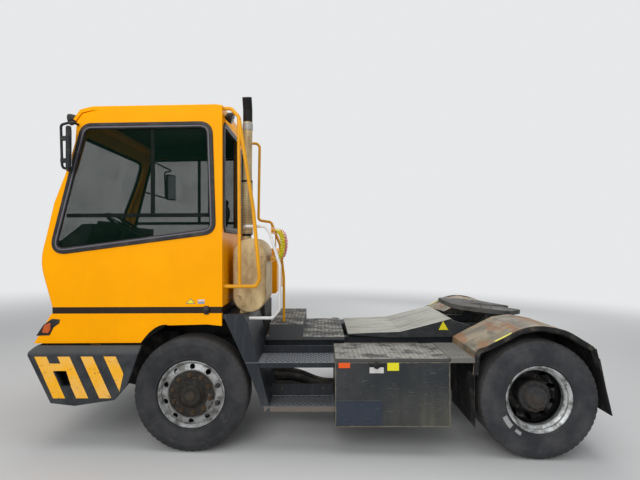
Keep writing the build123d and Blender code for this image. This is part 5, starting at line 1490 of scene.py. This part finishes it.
handle = on_plate(rounded([(-0.120, 0.250, 0.046), (-0.150, 0.430, 0.040), (-0.150, 0.490, 0.034),
                           (-0.070, 0.520, 0.034)], 0.025, 6, closed=False))
nipples = [turned([(0.007, 0.0), (0.007, 0.006), (0.004, 0.010)], on_plate([x, y, 0.107]),
                  turned_way(0, 0, 1), 8) for x in (-0.020, 0.090) for y in (-0.300, 0.300)]
piece("release_handle", tube(handle, 0.009, (0, 0, 1), 10), bolt_steel, "fifth_wheel")
piece("grease_nipples", merged(nipples), bolt_steel, "fifth_wheel")
grease = turned([(0.030, 0.1075), (0.070, 0.1080), (0.110, 0.1080), (0.113, 0.1072)], on_plate([0, 0, 0]),
                turned_way(-TILT_SIN, 0, TILT_COS), 40, closed=True)
piece("grease_ring", grease, grease_film, "fifth_wheel")
number_plate = [(-3.562, -3.556, -0.160, 0.160, 0.700, 0.780)]
piece("number_plate_blank", blocks(number_plate), plate_white, bevel=0.002)

# %% [markdown]
# Between the two steps one looks through to the frame: a toe board with two bolts stands behind
# the low step, and above it a bundle of thick hoses runs back along the rail, sagging as it goes.

# %% Toe board and hoses
toe_board = blocks([(-1.284, -0.702, 0.915, 0.922, 0.402, 0.512)])
toe_bolts = [turned([(0.012, 0.0), (0.012, 0.006), (0.007, 0.009)], chassis([x, 0.922, 0.470]),
                    turned_way(0, 1, 0), 8) for x in (-0.800, -1.190)]
piece("step_toe_board", toe_board, step_paint, bevel=0.002)
piece("step_toe_bolts", merged(toe_bolts), bolt_steel)
hoses = []
for y, high, low, radius in ((0.470, 0.520, 0.400, 0.030), (0.520, 0.485, 0.375, 0.034),
                             (0.475, 0.440, 0.345, 0.030), (0.530, 0.405, 0.320, 0.026)):
    corners = [(-0.560, y, high), (-0.900, y, high), (-1.180, y, low), (-2.050, y, low + 0.030)]
    hoses.append(tube(chassis(rounded(corners, 0.120, 8, closed=False)), radius, (0, 1, 0), 12))
piece("rail_hoses", merged(hoses), flap_rubber)

# %% [markdown]
# The floor and the light. A wide pale floor takes the shadow; beyond a few metres it fades into
# the backdrop's colour. Broad soft lamps stand for an overcast sky, brighter from the front
# left where the photograph is lit, with the pale world filling in.

# %% Floor, backdrop and light
BACKDROP = (0.80, 0.81, 0.82, 1.0)
FLOOR_FADES = (6.0, 16.0)


def studio_floor():
    """Disc of pale floor: radius by angle, its shade fading to the backdrop's colour outwards."""
    radius = np.array([0.0001, 4.0, 9.0, 16.0, 30.0, 60.0])
    angle = np.linspace(0, 2 * math.pi, 64, endpoint=False)
    points = np.stack([radius[:, None] * np.cos(angle), radius[:, None] * np.sin(angle),
                       np.zeros((len(radius), 64))], axis=-1)
    points, faces = skin(points, False, True, False)
    mesh = bpy.data.meshes.new("floor")
    mesh.from_pydata(points.tolist(), [], [face[::-1] for face in faces])
    floor = bpy.data.objects.new("floor", mesh)
    bpy.context.scene.collection.objects.link(floor)
    finish = Finish("floor_paint", (0.62, 0.62, 0.62, 1), 0.9, specular_ior_level=0.1)
    x, y, _ = finish.split(finish.place())
    far = finish.rise(finish.maths("SQRT", x * x + y * y), *FLOOR_FADES)
    glow = finish.node("ShaderNodeEmission", None, {"Color": BACKDROP, "Strength": 1.0})
    mixed = finish.node("ShaderNodeMixShader", None,
                        {0: far, 1: finish.shader.outputs[0], 2: glow.outputs[0]})
    finish.feed(finish.tree.nodes["Material Output"].inputs["Surface"], mixed.outputs[0])
    mesh.materials.append(finish.material)
    floor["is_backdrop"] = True


def studio_world():
    """Pale world: one strength for light, the backdrop's colour where the camera or a mirror looks."""
    world = bpy.data.worlds.new("studio")
    bpy.context.scene.world = world
    world.use_nodes = True
    tree = world.node_tree
    light = tree.nodes["Background"]
    light.inputs["Color"].default_value, light.inputs["Strength"].default_value = (0.95, 0.98, 1.0, 1), 0.40
    seen = tree.nodes.new("ShaderNodeBackground")
    seen.inputs["Color"].default_value, seen.inputs["Strength"].default_value = BACKDROP, 1.0
    path = tree.nodes.new("ShaderNodeLightPath")
    mix = tree.nodes.new("ShaderNodeMixShader")
    tree.links.new(path.outputs["Is Camera Ray"], mix.inputs[0])
    tree.links.new(light.outputs[0], mix.inputs[1])
    tree.links.new(seen.outputs[0], mix.inputs[2])
    tree.links.new(mix.outputs[0], tree.nodes["World Output"].inputs["Surface"])


LAMPS = (("sky", (0.0, 0.5, 8.5), (0, 0, 0.6), 9.0, 400), ("left", (2.5, 8.0, 4.5), (0, 0, 1.2), 6.0, 335),
         ("right", (-3.5, -8.0, 4.5), (0, 0, 1.0), 6.0, 160))


def studio_lamps():
    """Square soft lamps that look at the machine."""
    for name, place, target, size, power in LAMPS:
        data = bpy.data.lights.new(name, "AREA")
        data.size, data.energy = size, power
        lamp = bpy.data.objects.new(name, data)
        bpy.context.scene.collection.objects.link(lamp)
        lamp.location = place
        lamp.rotation_euler = (Vector(target) - Vector(place)).to_track_quat("-Z", "Y").to_euler()


studio_floor()
studio_world()
studio_lamps()
bpy.context.scene.view_settings.view_transform = "Standard"

# %% Sizes and the end
boxes = [[list(corner) for corner in box] for box in (cad_bounds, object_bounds())]
print("grown by", [round(b - a, 4) for a, b in zip(sum(boxes[0], []), sum(boxes[1], []))])
